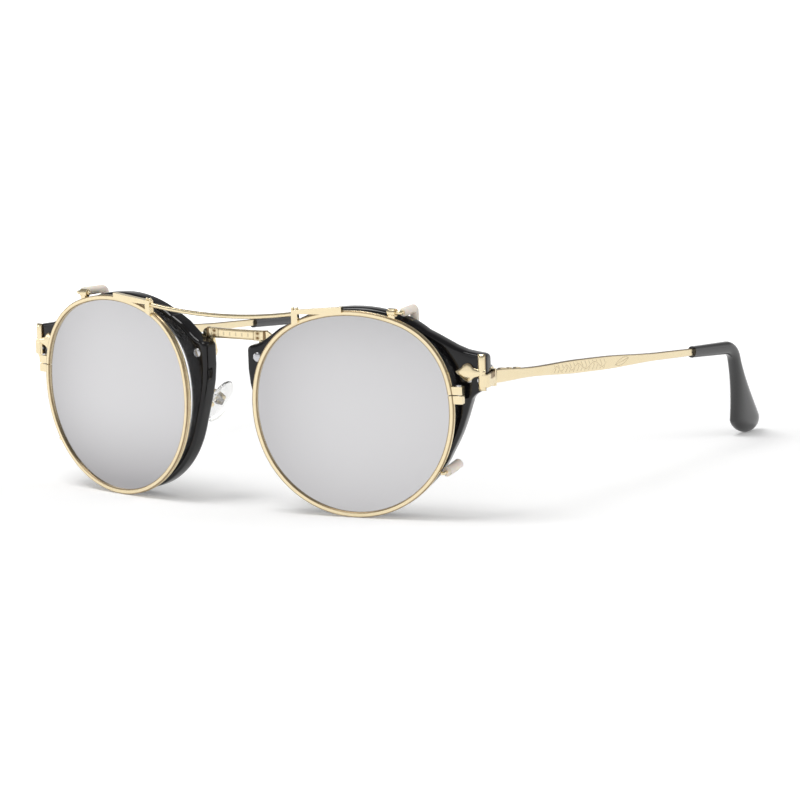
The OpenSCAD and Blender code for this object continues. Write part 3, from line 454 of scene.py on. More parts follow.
def make_finishes(c):
    """Makes every material of the glasses."""
    lacquer = Finish("acetate", "black_acetate", IOR=1.49, Specular_IOR_Level=0.42)
    lacquer.feed(Base_Color=lacquer.mix(lacquer.noise(180, 3), c.acetate, [1.9 * v for v in c.acetate]),
                 Roughness=lacquer.noise(900, 3) * 0.05 + 0.03)
    lacquer.bump(lacquer.noise(120, 1), 0.0001, 0.05)

    dark = Finish("tip", "black_tip", IOR=1.6, Specular_IOR_Level=0.6)
    dark.feed(Base_Color=dark.mix(dark.noise(200, 3), c.tip, [1.8 * v for v in c.tip]),
              Roughness=dark.noise(700, 3) * 0.06 + 0.07)
    dark.bump(dark.noise(100, 1), 0.0001, 0.06)

    gold = Finish("gold", "pale_gold", Metallic=1.0)
    worn = gold.noise(260, 4)
    # The mask mixes patina and painted shade with random wear into the brown.
    painted_shade_and_patina_share = (gold.mask() + (worn.above(0.55, 0.8) * 0.14)).above(0.0, 1.0)
    gold.feed(Base_Color=gold.mix(painted_shade_and_patina_share, gold.mix(worn, c.gold, c.worn_gold), c.patina_and_painted_shade),
              Roughness=gold.noise(1500, 3) * 0.12 + 0.13 + gold.mask() * 0.15)
    gold.bump(gold.noise(2600, 2), 0.00003, 0.25)

    steel = Finish("steel", "silver_screws", Metallic=1.0)
    grain = steel.noise(3000, 2, (1, 6, 1))
    steel.feed(Base_Color=steel.mix(grain, c.silver, (0.5, 0.5, 0.52)), Roughness=grain * 0.14 + 0.12)
    steel.bump(grain, 0.00002, 0.4)

    mirror = Finish("mirror_lens", "silver_mirror", Metallic=1.0)
    mirror.feed(Base_Color=mirror.mix(mirror.mask(), c.mirror, c.mirror_painted_shade),
                Roughness=mirror.noise(400, 2) * 0.05 + 0.16)

    clear = Finish("clear_lens", "clear_lens", IOR=1.5, Transmission_Weight=1.0)
    clear.feed(Base_Color=clear.mix(clear.noise(60, 1), c.clear, (0.985, 0.985, 0.985)),
               Roughness=clear.noise(300, 2) * 0.02 + 0.01)

    pad = Finish("silicone", "clear_pad", IOR=1.41, Transmission_Weight=0.92)
    pad.feed(Base_Color=pad.mix(pad.noise(500, 2), (0.95, 0.95, 0.94), (0.99, 0.99, 0.985)),
             Roughness=pad.noise(1200, 2) * 0.12 + 0.06)
    pad.bump(pad.noise(900, 2), 0.00005, 0.3)

    rubber = Finish("sleeve", "cream_rubber", IOR=1.43, Subsurface_Weight=0.4,
                    Subsurface_Radius=(0.0012, 0.0008, 0.0005))
    streak = rubber.noise(1100, 3)
    rubber.feed(Base_Color=rubber.mix(streak, c.sleeve, (0.98, 0.92, 0.84)),
                Roughness=rubber.noise(1600, 2) * 0.2 + 0.3)
    rubber.bump(streak, 0.00004, 0.4)


# ---- pieces


def polygon_reach(phi, s, polygons):
    """How far a ray from each eye point, square to the eye curve, runs until it leaves the farthest
    outline: each ray is cut with each edge by Cramer's rule."""
    u, w = eye_point(phi, 0.0, s)
    ru, rw = np.cos(phi)[:, None], np.sin(phi)[:, None]
    best = np.zeros_like(phi)
    for a in polygons:
        eu, ew = (np.roll(a, -1, axis=0) - a).T
        du, dw = a[:, 0] - u[:, None], a[:, 1] - w[:, None]
        det = ru * ew - rw * eu
        det = np.where(np.abs(det) < 1e-12, 1e-12, det)
        t = (du * ew - dw * eu) / det
        k = (du * rw - dw * ru) / det
        best = np.maximum(best, np.where((k >= 0) & (k <= 1) & (t > 0), t, 0).max(axis=1))
    return best


def smoothed(values, width):
    """A closed row of values averaged with a bell of the given width in samples."""
    reach = int(3 * width) + 1
    k = np.arange(-reach, reach + 1)
    share = np.exp(-0.5 * (k / width) ** 2)
    share /= share.sum()
    return np.convolve(np.concatenate([values[-reach:], values, values[:reach]]), share, mode="valid")


def acetate_outlines(s):
    """The rim's own ring, the nose side and the endpiece, as flat outlines in u and w."""
    ring = np.stack(eye_point(around(720, -math.pi), s.rim_w, s), axis=-1) + [0, s.rim_lift]
    top, low = (s.endpiece_w + s.endpiece_h / 2) / MM, (s.endpiece_w - s.endpiece_h / 2) / MM
    n, e = s.nose_u / MM, s.endpiece_u / MM
    nose = [[-17, 21], [-20.2, 19.4], [-23.2, 17.1], [-24.9, 16], [-26.4, 15.3], [-n + 0.6, 15], [-n, 14.3],
            [-n, 9], [-n + 0.4, 5.4], [-n + 1.1, 2.6], [-n + 1.9, 0], [-n + 2.8, -2.9], [-20, 0]]
    end = [[15, 21.1], [17.7, 20], [20.2, 18.8], [22.7, 17.5], [25.2, 16.2], [27.7, 15.2],
           [e - 2.8, top + 0.1], [e - 0.6, top - 0.2], [e, top - 0.8], [e, low + 0.6], [e - 0.8, low - 0.2],
           [e - 2.6, low - 1], [29, 3.6], [28.1, 1.6], [27.5, -0.4], [26.8, -2.8], [25.9, -5.2],
           [24.9, -7.6], [20, 0]]
    return [ring, np.array(nose) * MM, np.array(end) * MM]


def acetate_rim(side, s):
    """A ring whose section reaches from the eye opening to the outline: flat faces, a bevel around the
    eye, and outer edges rounded as quarter circles. Each row of the section is a share of the reach, a
    width of its own, and a depth."""
    phi = around(1200, -math.pi)
    crisp = polygon_reach(phi, s, acetate_outlines(s))
    low = unit((3 * MM - eye_point(phi, 0.0, s)[1]) / (4 * MM))
    reach = smoothed(crisp, 2.2) * (1 - low) + smoothed(crisp, 16) * low
    r, t, q = s.rim_round, s.rim_t, np.linspace(0, math.pi / 2, 7)
    rows = [(0, 0, t - 0.3 * MM), (0, 0, t / 2), (0, 0, s.bevel_d),
            (0, s.bevel_w * 0.35, s.bevel_d * 0.62), (0, s.bevel_w * 0.9, 0.06 * MM),
            (0, s.bevel_w + 0.15 * MM, 0), (0.5, (s.bevel_w - r) / 2, 0),
            *((1, r * math.sin(a) - r, r - r * math.cos(a)) for a in q), (1, 0, t / 2),
            *((1, r * math.sin(a) - r, t - r + r * math.cos(a)) for a in q[::-1]),
            (0.5, -r / 2, t), (0, 0.3 * MM, t)]
    share, own, d = np.array(rows).T
    u, w = eye_point(phi[:, None], reach[:, None] * share + own, s)
    return Shell().ring(in_part(u, w, d, side, s))


def lens(side, s, e, front, curve, thick, mirror=False):
    """A lens: rings that shrink to a point at the middle of each face. Depth = front + curve -
    sqrt(curve^2 - distance^2), and the same with curve - thick behind. A mirror lens gets painted shade
    towards its edges, by powers of the height and of the way across, and most at the bottom of the right lens;
    the painted shade stands in for darker reflections."""
    grow = np.concatenate([np.linspace(0.002, 1, 40), np.linspace(1, 0.002, 24)])[:, None]
    u, w = (grow * v for v in eye_point(around(180, -math.pi), e, s))
    r = np.repeat([curve, curve - thick], [40, 24])[:, None]
    shade = 0.0
    if mirror:
        # Painted shade: darker towards the edges and the bottom, standing in for darker reflections.
        high, across = w / s.eye_r, side * u / s.eye_r
        low = 0.95 if side < 0 else 0.25
        shade = unit(0.16 * unit(high) ** 1.5 + 0.45 * unit(-across) ** 2
                     + 0.12 * unit(across) ** 2 + low * unit(-high) ** 2.2)
    return Shell().tube(in_part(u, w, front + curve - np.sqrt(r * r - u ** 2 - w ** 2), side, s), shade)


def clip_rim(side, s):
    """A wire of rounded square section along the eye curve, with a fine line turned into its outside and
    cut through at the closing block. The groove is darkened, and the section's rounded corners get painted
    shade as dark outlines."""
    a, b = s.clip_w / 2, 0.35 * s.clip_t
    gap = s.split / 2 / (s.eye_r + s.side_bulge + s.clip_e)
    phi = np.linspace(s.split_at + gap, s.split_at + math.tau - gap, 560)[:, None]
    x, y = box_section(a, b, 0.3 * MM, 9, 6)
    line = bell(y, 0.14 * MM) * (x > a * 0.9)
    x = x - 0.2 * MM * line
    u, w = eye_point(phi, s.clip_e - a + x, s)
    # Painted shade: the section's rounded corners are darkened into dark outlines along both sides.
    corner = unit((np.hypot(x / a, y / b) - 1.05) / 0.2)
    shade = np.broadcast_to(unit(0.75 * line + 0.8 * corner), u.shape)
    return Shell().tube(in_part(u, w, b - s.clip_gap - s.clip_t + y, side, s), shade)


def temple_place(x, y, z, side, s, black_tip=False):
    """From a temple's own frame to the part's: dropped about X, splayed about Z, set on the hinge pin and
    mirrored for the other side. A tip is first leant inwards and moved to the band's end."""
    if black_tip:
        x, z = spin(x, z, -s.tip_cant)
        x, y = x + band_place(s)[0] + s.band_t / 2, y + s.band_l
    y, z = spin(y, z, -s.drop)
    x, y = spin(x, y, -s.splay)
    return placed(x, y, z, FOLD, side)


def band_place(s):
    """Inner face of the band and its front end, from the hinge pin, as the endpiece's corner gives them."""
    corner = in_part(s.endpiece_u + s.arrow_t, s.endpiece_w - s.hinge_drop, s.rim_t + s.hinge_plate_t, 1, s)
    return corner[0] - s.band_t - FOLD[0], corner[1] + s.air - FOLD[1]


def band_height(y, s):
    """Half height of the band: it eases from station to station as half a cosine wave."""
    start = band_place(s)[1]
    at = np.array([start, 0.16 * s.band_l, 0.4 * s.band_l, 0.5 * s.band_l, 0.82 * s.band_l, s.band_l])
    high = np.array([s.band_front, s.band_neck, s.band_leaf, s.band_leaf, s.band_rear + 0.1 * MM, s.band_rear])
    k = np.clip(np.searchsorted(at, y) - 1, 0, 4)
    t = unit((y - at[k]) / (at[k + 1] - at[k]))
    return (high[k] + (high[k + 1] - high[k]) * (1 - np.cos(math.pi * t)) / 2) / 2


def vine(y, z, half, s):
    """Engraved vine, 0 to 1: a winding stem, short slanted strokes on both sides of it, and a leaf at its
    end. Each line is a bell curve of the distance from it."""
    line = 0.11 * MM
    begin, finish, leaf_y = 0.25 * s.band_l, 0.54 * s.band_l, 0.61 * s.band_l
    stem = 0.42 * half * np.sin(math.tau * (y / (6.3 * MM) + 0.22 * np.sin(y / (4.7 * MM))))
    stroke = np.sin(math.tau * (y + 0.8 * np.abs(z)) / (1.9 * MM))
    beside = (np.abs(z) < 0.72 * half) * (np.abs(z - stem) > 0.25 * MM)
    mark = bell(z - stem, line) + 0.8 * unit(stroke * 4 - 2.6) * beside
    fade = unit((y - begin) / (2 * MM)) * unit((finish - y) / (2 * MM))
    across, along_leaf = z - 0.22 * (y - leaf_y), (y - leaf_y) / (3.4 * MM)
    edge = 0.55 * half * unit(1 - along_leaf ** 2)
    leaf = bell(np.abs(across) - edge, line) + bell(across, line)
    return unit(mark * fade + leaf * (np.abs(along_leaf) < 1))


def temple(side, s):
    """The band: a rounded rectangle whose height changes along its length, with the vine cut into its
    outer face, three ridges on its top, and the knuckle that turns on the hinge screw."""
    band_x, start = band_place(s)
    middle = band_x + s.band_t / 2
    y = np.linspace(start, s.band_l, 900)[:, None]
    half = band_height(y, s)
    r, q, five = 0.32 * MM, np.linspace(0, math.pi / 2, 5), np.ones(5)
    c, n = np.cos(q), np.sin(q)
    kx = np.repeat([1.0, -1.0], [33, 15])
    kz = np.concatenate([five, np.linspace(1, -1, 25)[1:-1], -five, -five, np.linspace(-0.7, 0.7, 5), five])
    ax = np.concatenate([c[::-1], np.ones(23), c, -c[::-1], -five, -c])
    az = np.concatenate([n[::-1], np.zeros(23), -n, -n[::-1], 0 * five, n])
    z = kz * (half - r) + r * az
    mark = vine(y, z, half, s) * ((ax == 1) & (kx == 1) & (az == 0))
    x = kx * (s.band_t / 2 - r) + r * ax + middle - s.engraving * mark
    # Painted shade: the band's top face, and less its bottom face, are darkened as a dark reflection; the
    # vine's engraved lines are darker too.
    shade = unit(0.5 * mark + unit(az) ** 2 + 0.35 * unit(-az) ** 2)
    shell = Shell().tube(temple_place(x, y, z, side, s), shade)
    bx, bz = box_section(0.42 * MM, 1.0, 0.3 * MM, 3, 4)
    rise = 0.34 * MM * np.sqrt(1 - np.linspace(-0.98, 0.98, 12) ** 4)[:, None]
    for at, size in ((3.2, 3.0), (6.6, 1.5), (10.2, 2.6)):
        y = (start + at * MM + size * MM * np.linspace(-0.5, 0.5, 12))[:, None]
        crest = band_height(y, s) - 0.1 * MM + rise * np.clip(bz, -0.3, 1)
        shell.tube(temple_place(middle + bx, y, crest, side, s), 0.45 + 0 * crest)
    knuckle = 0.4 * (s.hinge_h - 0.2 * MM)
    turn = around(48)
    up = np.array([-0.5, -0.5, -0.44, 0.44, 0.5, 0.5])[:, None] * knuckle
    wide = np.array([0.5, 0.9, 1.0, 1.0, 0.9, 0.5])[:, None] * s.hinge_d / 2
    shell.tube(placed(wide * np.cos(turn), wide * np.sin(turn), up, FOLD, side), 0.1)
    sx, sz = box_section((s.hinge_d / 2 - start) / 2 * 0.92, knuckle / 2 * 0.98, 0.15 * MM, 3, 4)
    reach = np.linspace(0, band_x + 0.5 * MM, 8)[:, None]
    return shell.tube(placed(reach, (start + 0.15 * MM + s.hinge_d / 2) / 2 + sx, sz, FOLD, side), 0.15)


def tip(side, s, floor):
    """The tip: level ellipses carried along a straight, a bend and a drop. Its width grows by a power of
    the way down the drop, and the end closes as a half circle."""
    lean = math.pi / 2 - s.drop - s.tip_bend
    cap = 0.35 * s.tip_w_end
    fall = s.tip_bend_r * (math.cos(s.drop) - math.cos(s.drop + s.tip_bend))
    top = FOLD[2] - (s.band_l + s.tip_straight) * math.sin(s.drop) - fall * math.cos(s.tip_cant)
    drop_l = (top - floor) / math.sin(s.drop + s.tip_bend) / math.cos(s.tip_cant) - cap
    bend_l = s.tip_bend_r * s.tip_bend
    start = s.tip_straight + bend_l
    end = start + drop_l
    way = np.concatenate([[0.0, 0.0], np.linspace(0.02, 1, 30) * s.tip_straight,
                          s.tip_straight + bend_l * np.linspace(0.04, 1, 26),
                          start + drop_l * np.linspace(0.03, 1, 40),
                          end + cap * np.sin(np.linspace(0.06, math.pi / 2 * 0.995, 18))])[:, None]
    along_drop = unit((way - start) / drop_l)
    first_w = s.tip_w_start + 0.6 * MM * unit(way / start)
    width = first_w + (s.tip_w_end - s.tip_w_start - 0.6 * MM) * along_drop ** 1.8
    thick = 2.6 * MM + (s.tip_t - 2.6 * MM) * (1 - np.cos(math.pi * unit(way / end))) / 2
    close = np.sqrt(np.clip(1 - (np.clip(way - end, 0, None) / cap) ** 2, 0.0004, 1))
    close[0] = 0.7
    turn = np.clip((way - s.tip_straight) / s.tip_bend_r, 0, s.tip_bend)
    more = np.clip(way - start, 0, None)
    level = turn + lean * along_drop
    cx, cz = (np.sign(v) * np.abs(v) ** 0.86 for v in (np.cos(around(56)), np.sin(around(56))))
    up = 0.985 * width / 2 * close * cz
    y = np.minimum(way, s.tip_straight) + s.tip_bend_r * np.sin(turn) + more * math.cos(s.tip_bend) \
        + up * np.sin(level)
    z = -s.tip_bend_r * (1 - np.cos(turn)) - more * math.sin(s.tip_bend) + up * np.cos(level)
    return Shell().tube(temple_place(0.98 * thick / 2 * close * cx, y, z, side, s, True))


def pad_place(x, y, z, side, s):
    """From a pad's own frame to the part's: splayed about Z, flared about Y, set on the pad's pivot."""
    x, y = spin(x, y, s.pad_splay)
    x, z = spin(x, z, s.pad_flare)
    return placed(x, y, z, ROCK, side)


def nose_pad(side, s):
    """A pad: rings of an egg outline, whose size follows a quarter circle over the thickness, so that the
    face towards the nose is crowned, and a stem with an eye for the screw."""
    q, over = around(72), np.linspace(0, 1, 12)
    y = s.pad_w / 2 * (0.93 - 0.07 * np.cos(q)) * np.sin(q)
    z = s.pad_l / 2 * 0.98 * np.cos(q)
    size = np.concatenate([[0.02, 0.5, 0.86], 0.93 + 0.07 * np.sin(over * math.pi / 2),
                           np.cos(np.linspace(0.15, math.pi / 2 * 0.985, 16))])[:, None]
    depth = np.concatenate([[0, 0, 0], 0.32 * over, 0.32 + 0.68 * np.sin(np.linspace(0.15, math.pi / 2, 16))])
    shell = Shell().tube(pad_place(-s.pad_stem - s.pad_t * depth[:, None], size * y, size * z, side, s))
    stem_y, stem_z = box_section(0.9 * MM, 0.75 * MM, 0.25 * MM, 3, 4)
    reach = np.linspace(-s.pad_stem - 0.3 * MM, 0.35 * MM, 8)[:, None]
    return shell.tube(pad_place(reach, stem_y, stem_z, side, s))


def dome_strip(low, high, thick):
    """Across a raised strip: between its two edges the height over the base follows half an ellipse.
    Gives the places across, the heights and the shades: painted shade along the two edges and on the base."""
    v = np.linspace(-1, 1, 15)
    v, face = np.concatenate([v, v[::-1]]), np.repeat([1, 0], 15)
    across = (low + high)[:, None] / 2 + (high - low)[:, None] / 2 * v
    lift = thick[:, None] * (0.25 + 0.75 * np.sqrt(1 - 0.96 * v ** 2)) * face
    # Painted shade: dark outlines along the strip's edges and under it.
    return across, lift, np.broadcast_to(0.75 * np.where(face, np.abs(v) ** 10, 1), lift.shape)


def arrow_plate(side, s):
    """The arrow, the cross bar and the tab: three raised strips. The arrow's edges run through measured
    points, and the tab bends round the endpiece's end. Its upper half has a painted shade notch."""
    edge, mid = s.endpiece_u - 0.1 * MM, s.endpiece_w - 0.1 * MM
    place = np.array([0.0, 0.15, 0.6, 1.2, 2.3, 3.2, 4, 4.7, 5.8, 8.5]) * MM
    high = np.array([0.02, 0.15, 0.5, 0.9, 1.9, 2.3, 2.0, 1.2, 0.9, 0.9]) * MM
    low = -np.array([0.02, 0.15, 0.5, 1.0, 1.95, 2.4, 2.1, 1.35, 1.0, 1.0]) * MM
    run = np.linspace(0, 8.5 * MM, 90)
    thick = s.arrow_t * np.clip((run / (1.2 * MM)) ** 0.5, 0.15, 1)
    w, lift, shade = dome_strip(np.interp(run, place, low) + mid, np.interp(run, place, high) + mid, thick)
    u = np.minimum(run + s.endpiece_u - 7.8 * MM, edge)[:, None]
    shell = Shell().tube(in_part(u, w, -lift, side, s), shade)
    run = np.linspace(0, 1, 40)
    thick = s.arrow_t * np.clip(np.sqrt(1 - (2 * run - 1) ** 8), 0.3, 1)
    u, lift, shade = dome_strip(0 * run + s.endpiece_u - 2 * MM, 0 * run + edge, thick)
    w = s.endpiece_w - s.endpiece_h / 2 - 0.2 * MM + run[:, None] * (s.endpiece_h + 0.2 * MM)
    shell.tube(in_part(u, w, -lift, side, s), shade)
    outer = s.endpiece_u + s.arrow_t / 2
    path = rounded_path([[s.endpiece_u - 1.5 * MM, -0.42 * MM], [outer, -0.42 * MM],
                         [outer, s.rim_t - 0.02 * MM]], 0.7 * MM, 10)
    t = np.linspace(0, 1, 60)[:, None]
    path = np.concatenate([path[:-2], path[-2] * (1 - t) + path[-1] * t])
    way = np.gradient(path, axis=0)
    way /= np.linalg.norm(way, axis=1)[:, None]
    sx, sz = box_section(0.38 * MM, s.band_front / 2, 0.28 * MM, 5, 5)
    u, d = path[:, :1] - way[:, 1:] * sx, path[:, 1:] + way[:, :1] * sx
    # Painted shade: a dark notch with lighter ribs on the tab's upper half, standing in for the shaded hinge
    # gap.
    painted_notch_shade = unit((sz - 0.1 * MM) / (0.25 * MM)) * unit((d - 0.9 * MM) / (0.3 * MM))
    painted_ribs = 0.5 + 0.5 * np.cos(math.tau * (d - 1.4 * MM) / (1.05 * MM))
    shade = 0.05 + painted_notch_shade * (0.95 - 0.6 * painted_ribs ** 3)
    return shell.tube(in_part(u, s.endpiece_w - s.hinge_drop + sz, d, side, s), shade)


def bridge(s):
    """The bridge bar with rounded edges, a collar near each end, and the plate behind each rim."""
    mid_y = in_part(-s.rivet_u, s.rivet_w, s.rim_t + 0.5 * MM, 1, s)[1]
    reach = 8.6 * MM
    x = np.linspace(-reach, reach, 120)[:, None]
    sy, sz = box_section(s.bridge_t / 2, s.bridge_h / 2, 0.4 * MM, 6, 6)
    swell = 1 - 0.10 * (1 - (x / reach) ** 2)
    far, tall = np.abs(x), np.abs(sz) / (s.bridge_h / 2)
    collar = np.exp(-((far - 6.4 * MM) / (1.0 * MM)) ** 4)
    spots = bell(far - 6.4 * MM, 0.45 * MM) * bell(tall - 0.45, 0.22)
    painted_panel_outline = bell(tall - 0.72, 0.09) * (far < 5.2 * MM) + bell(far - 5.2 * MM, 0.16 * MM)
    ticks = bell(np.mod(x + 0.9 * MM, 1.8 * MM) - 0.9 * MM, 0.2 * MM)
    marks = ticks * (tall < 0.45) * (far < 4.2 * MM)
    # Painted shade: the outline of the front panel and the ends where the bar meets the plates; the collar,
    # spots and ticks are dark marks on the bar.
    shade = unit(0.3 * collar + 0.9 * spots + 0.6 * painted_panel_outline + 0.45 * marks + 0.8 * (far > 7.9 * MM))
    shell = Shell().tube(placed(x, mid_y + sy, s.bridge_z + sz * swell, 0, 1), shade)
    q = around(64)
    lean = np.array([0.6 * MM, s.bridge_z - 0.4 * MM - s.rivet_w])
    upper = np.cos(q - math.atan2(lean[1], lean[0])) > 0
    size, deep = np.array([(0.55, 0), (0.97, 0), (1, 0.12), (1, 0.85), (0.95, 0.97), (0.5, 1)]).T[..., None]
    r = np.where(upper, 1.6, 1.9) * MM * size
    u, w = upper * lean[0] - s.rivet_u + r * np.cos(q), upper * lean[1] + s.rivet_w + r * np.sin(q)
    for _, side in SIDES:
        shell.tube(in_part(u, w, s.rim_t + deep * MM, side, s))
    return shell


def rivets(s):
    """Rivets through the nose sides: a head like a flat dome, radius 1.15 * sin and height 0.4 * cos, a
    shank, and a smaller dome behind."""
    shell = Shell()
    q, t = around(48), np.linspace(0.08, math.pi / 2, 10)
    behind = s.rim_t + 1 * MM
    r = np.concatenate([1.15 * np.sin(t), [1.1, 0.55, 0.55, 0.85], 0.92 * np.sin(t[::-1])])[:, None] * MM
    d = np.concatenate([-0.4 * np.cos(t) * MM, [0, 0, behind, behind], behind + 0.38 * np.cos(t[::-1]) * MM])
    u, w = r * np.cos(q) - s.rivet_u, r * np.sin(q) + s.rivet_w
    shade = np.broadcast_to(np.clip((r / MM - 0.95) * 3, 0, 0.6), u.shape)
    for _, side in SIDES:
        shell.tube(in_part(u, w, d[:, None], side, s), shade)
    return shell


def bar_path(s):
    """The bar: a shallow arc between the posts, through their heights and the sag."""
    lo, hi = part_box("clip_bar")
    half = s.post_x - s.post_w / 2
    r = (half * half + s.bar_sag ** 2) / (2 * s.bar_sag)
    x = np.linspace(-half - 0.5 * MM, half + 0.5 * MM, 90)
    return placed(x, (lo[1] + hi[1]) / 2, lo[2] + s.bar_d / 2 + r - np.sqrt(r * r - x * x), 0, 1)


def top_hook_paths(side, s):
    """Middle lines of a top hook and of its sleeve: along the pin, back over the acetate, and down."""
    lo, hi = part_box("top_hook_left")
    bend = np.array([s.hook_x, FLIP[1], FLIP[2]])
    way = np.array([-math.sin(s.wrap), math.cos(s.wrap), 0])
    back = bend + way * (hi[1] - s.wire_d / 2 - FLIP[1]) / math.cos(s.wrap)
    down = back - [0, 0, s.hook_drop]
    hook = rounded_path([[lo[0], FLIP[1], FLIP[2]], bend, back, down], 0.8 * MM, 8)
    sleeve = rounded_path([bend + way * (1.3 * MM), back, down - [0, 0, 0.3 * MM]], 1.3 * MM, 10)
    return hook * [side, 1, 1], sleeve * [side, 1, 1]


def low_hook_paths(side, s):
    """Middle lines of a lower hook and its sleeve: out along X and back along an arc about the pin."""
    lo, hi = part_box("low_hook_left")
    root = np.array([lo[0], *(v + (s.wire_d + 0.2 * MM) / 2 for v in lo[1:])])
    r = math.hypot(root[1] - FLIP[1], root[2] - FLIP[2])
    a = math.asin((root[1] - FLIP[1]) / r)
    b = math.asin((hi[1] - s.wire_d / 2 * math.cos(a) - FLIP[1]) / r)

    def arc(start, end, n):
        t = np.linspace(start, end, n)
        return placed(s.low_x, FLIP[1] + r * np.sin(t), FLIP[2] - r * np.cos(t), 0, 1)

    swing = arc(a, b, 24)
    elbow = rounded_path([root, swing[0], swing[3]], 0.5 * MM, 8)[:-1]
    sleeve = arc(a + math.radians(2), b + math.radians(1), 20)
    return np.concatenate([elbow, swing[3:]]) * [side, 1, 1], sleeve * [side, 1, 1]


def merged_copy(node, name, body, slot, bevel=0.0):
    """A copy of a CAD node with its loose triangles joined and its edges softened by a fine bevel."""
    mesh = frame["nodes"][node].data.copy()
    work = bmesh.new()
    work.from_mesh(mesh)
    bmesh.ops.remove_doubles(work, verts=work.verts, dist=1e-6)
    bmesh.ops.dissolve_limit(work, angle_limit=math.radians(0.5), verts=work.verts, edges=work.edges)
    work.to_mesh(mesh)
    work.free()
    mesh.name = name
    piece = finished(mesh, name, body, node, slot, 28)
    if bevel:
        soft = piece.modifiers.new("edges", "BEVEL")
        soft.width, soft.segments = bevel * MM, 2
        soft.limit_method, soft.angle_limit = "ANGLE", math.radians(28)


# ---- operators


class GLASSES_OT_rims(bpy.types.Operator):
    """Make the acetate rims"""
    bl_idname = "glasses.rims"
    bl_label = "Acetate rims"

    def execute(self, context):
        s = context.scene.glasses_sizes
        for name, side in SIDES:
            acetate_rim(side, s).make("acetate_" + name, "front", "rim_" + name, "acetate")
        return {"FINISHED"}


class GLASSES_OT_lenses(bpy.types.Operator):
    """Make the clear lenses and the mirror lenses"""
    bl_idname = "glasses.lenses"
    bl_label = "Lenses"

    def execute(self, context):
        s = context.scene.glasses_sizes
        inner = s.clip_e - s.clip_w
        sag, edge = (curve - math.sqrt(curve ** 2 - s.eye_r ** 2) for curve in (s.lens_curve, s.mirror_curve))
        front = s.rim_t / 2 - 0.9 * MM - sag
        mirror_front = -s.clip_gap - (s.clip_t + s.mirror_t) / 2 - edge * (1 + inner / s.eye_r) ** 2
        for name, side in SIDES:
            lens(side, s, 0.25 * MM, front, s.lens_curve, s.lens_t).make(
                "clear_" + name, "front", "lens_" + name, "clear_lens")
            lens(side, s, inner + 0.2 * MM, mirror_front, s.mirror_curve, s.mirror_t, True).make(
                "mirror_" + name, "clip", "clip_lens_" + name, "mirror_lens")
        return {"FINISHED"}


class GLASSES_OT_clip(bpy.types.Operator):
    """Make the clip-on rims, bar, posts, closing blocks and barrels"""
    bl_idname = "glasses.clip"
    bl_label = "Clip-on frame"

    def execute(self, context):
        s = context.scene.glasses_sizes
        Shell().tube(wire(bar_path(s), s.bar_d, 24)).make("bar", "clip", "clip_bar", "gold")
        for name, side in SIDES:
            clip_rim(side, s).make("clip_wire_" + name, "clip", "clip_rim_" + name, "gold", 50)
            for piece, bevel in (("post_", 0.12), ("lock_", 0.15), ("barrel_", 0.06)):
                merged_copy("clip_" + piece + name, piece + name, "clip", "gold", bevel)
        merged_copy("clip_lock_screws", "lock_screws", "clip", "steel", 0.05)
        return {"FINISHED"}


class GLASSES_OT_hooks(bpy.types.Operator):
    """Make the four hooks and their sleeves"""
    bl_idname = "glasses.hooks"
    bl_label = "Hooks and sleeves"

    def execute(self, context):
        s = context.scene.glasses_sizes
        for name, side in SIDES:
            hook, sleeve = top_hook_paths(side, s)
            low, low_sleeve = low_hook_paths(side, s)
            for piece, path, d, body, node, slot in (
                    ("hook_wire_", hook, s.wire_d, "front", "top_hook_", "gold"),
                    ("hook_sleeve_", sleeve, s.sleeve_d, "front", "top_sleeve_", "sleeve"),
                    ("low_wire_", low, s.wire_d, "clip", "low_hook_", "gold"),
                    ("low_cover_", low_sleeve, s.low_sleeve_d, "clip", "low_sleeve_", "sleeve")):
                Shell().tube(wire(path, d, 28)).make(piece + name, body, node + name, slot)
        return {"FINISHED"}


class GLASSES_OT_bridge(bpy.types.Operator):
    """Make the bridge, its rivets, the pad arms and the nose pads"""
    bl_idname = "glasses.bridge"
    bl_label = "Bridge and pads"

    def execute(self, context):
        s = context.scene.glasses_sizes
        bridge(s).make("bridge_bar", "front", "bridge", "gold")
        rivets(s).make("rivets", "front", "bridge_rivets", "steel", 60)
        merged_copy("pad_screws", "screws_of_pads", "front", "steel", 0.04)
        for name, side in SIDES:
            merged_copy("pad_arm_" + name, "arm_" + name, "front", "gold")
            nose_pad(side, s).make("pad_" + name, "pad_" + name, "nose_pad_" + name, "silicone")
        return {"FINISHED"}


class GLASSES_OT_hinges(bpy.types.Operator):
    """Make the arrow plates and the hinges"""
    bl_idname = "glasses.hinges"
    bl_label = "Hinges"

    def execute(self, context):
        s = context.scene.glasses_sizes
        for name, side in SIDES:
            arrow_plate(side, s).make("arrow_" + name, "front", "arrow_plate_" + name, "gold")
            merged_copy("hinge_front_" + name, "knuckles_" + name, "front", "gold", 0.06)
            merged_copy("hinge_screw_" + name, "pivot_" + name, "front", "steel", 0.04)
        merged_copy("hinge_rivets", "plate_rivets", "front", "steel")
        return {"FINISHED"}


class GLASSES_OT_temples(bpy.types.Operator):
    """Make the temple bands and their black tips"""
    bl_idname = "glasses.temples"
    bl_label = "Temples"

    def execute(self, context):
        s = context.scene.glasses_sizes
        for name, side in SIDES:
            body = "temple_" + name
            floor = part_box("temple_tip_" + name)[0][2] + 0.06 * MM
            temple(side, s).make("band_" + name, body, "temple_" + name, "gold")
            tip(side, s, floor).make("tip_" + name, body, "temple_tip_" + name, "tip")
        return {"FINISHED"}


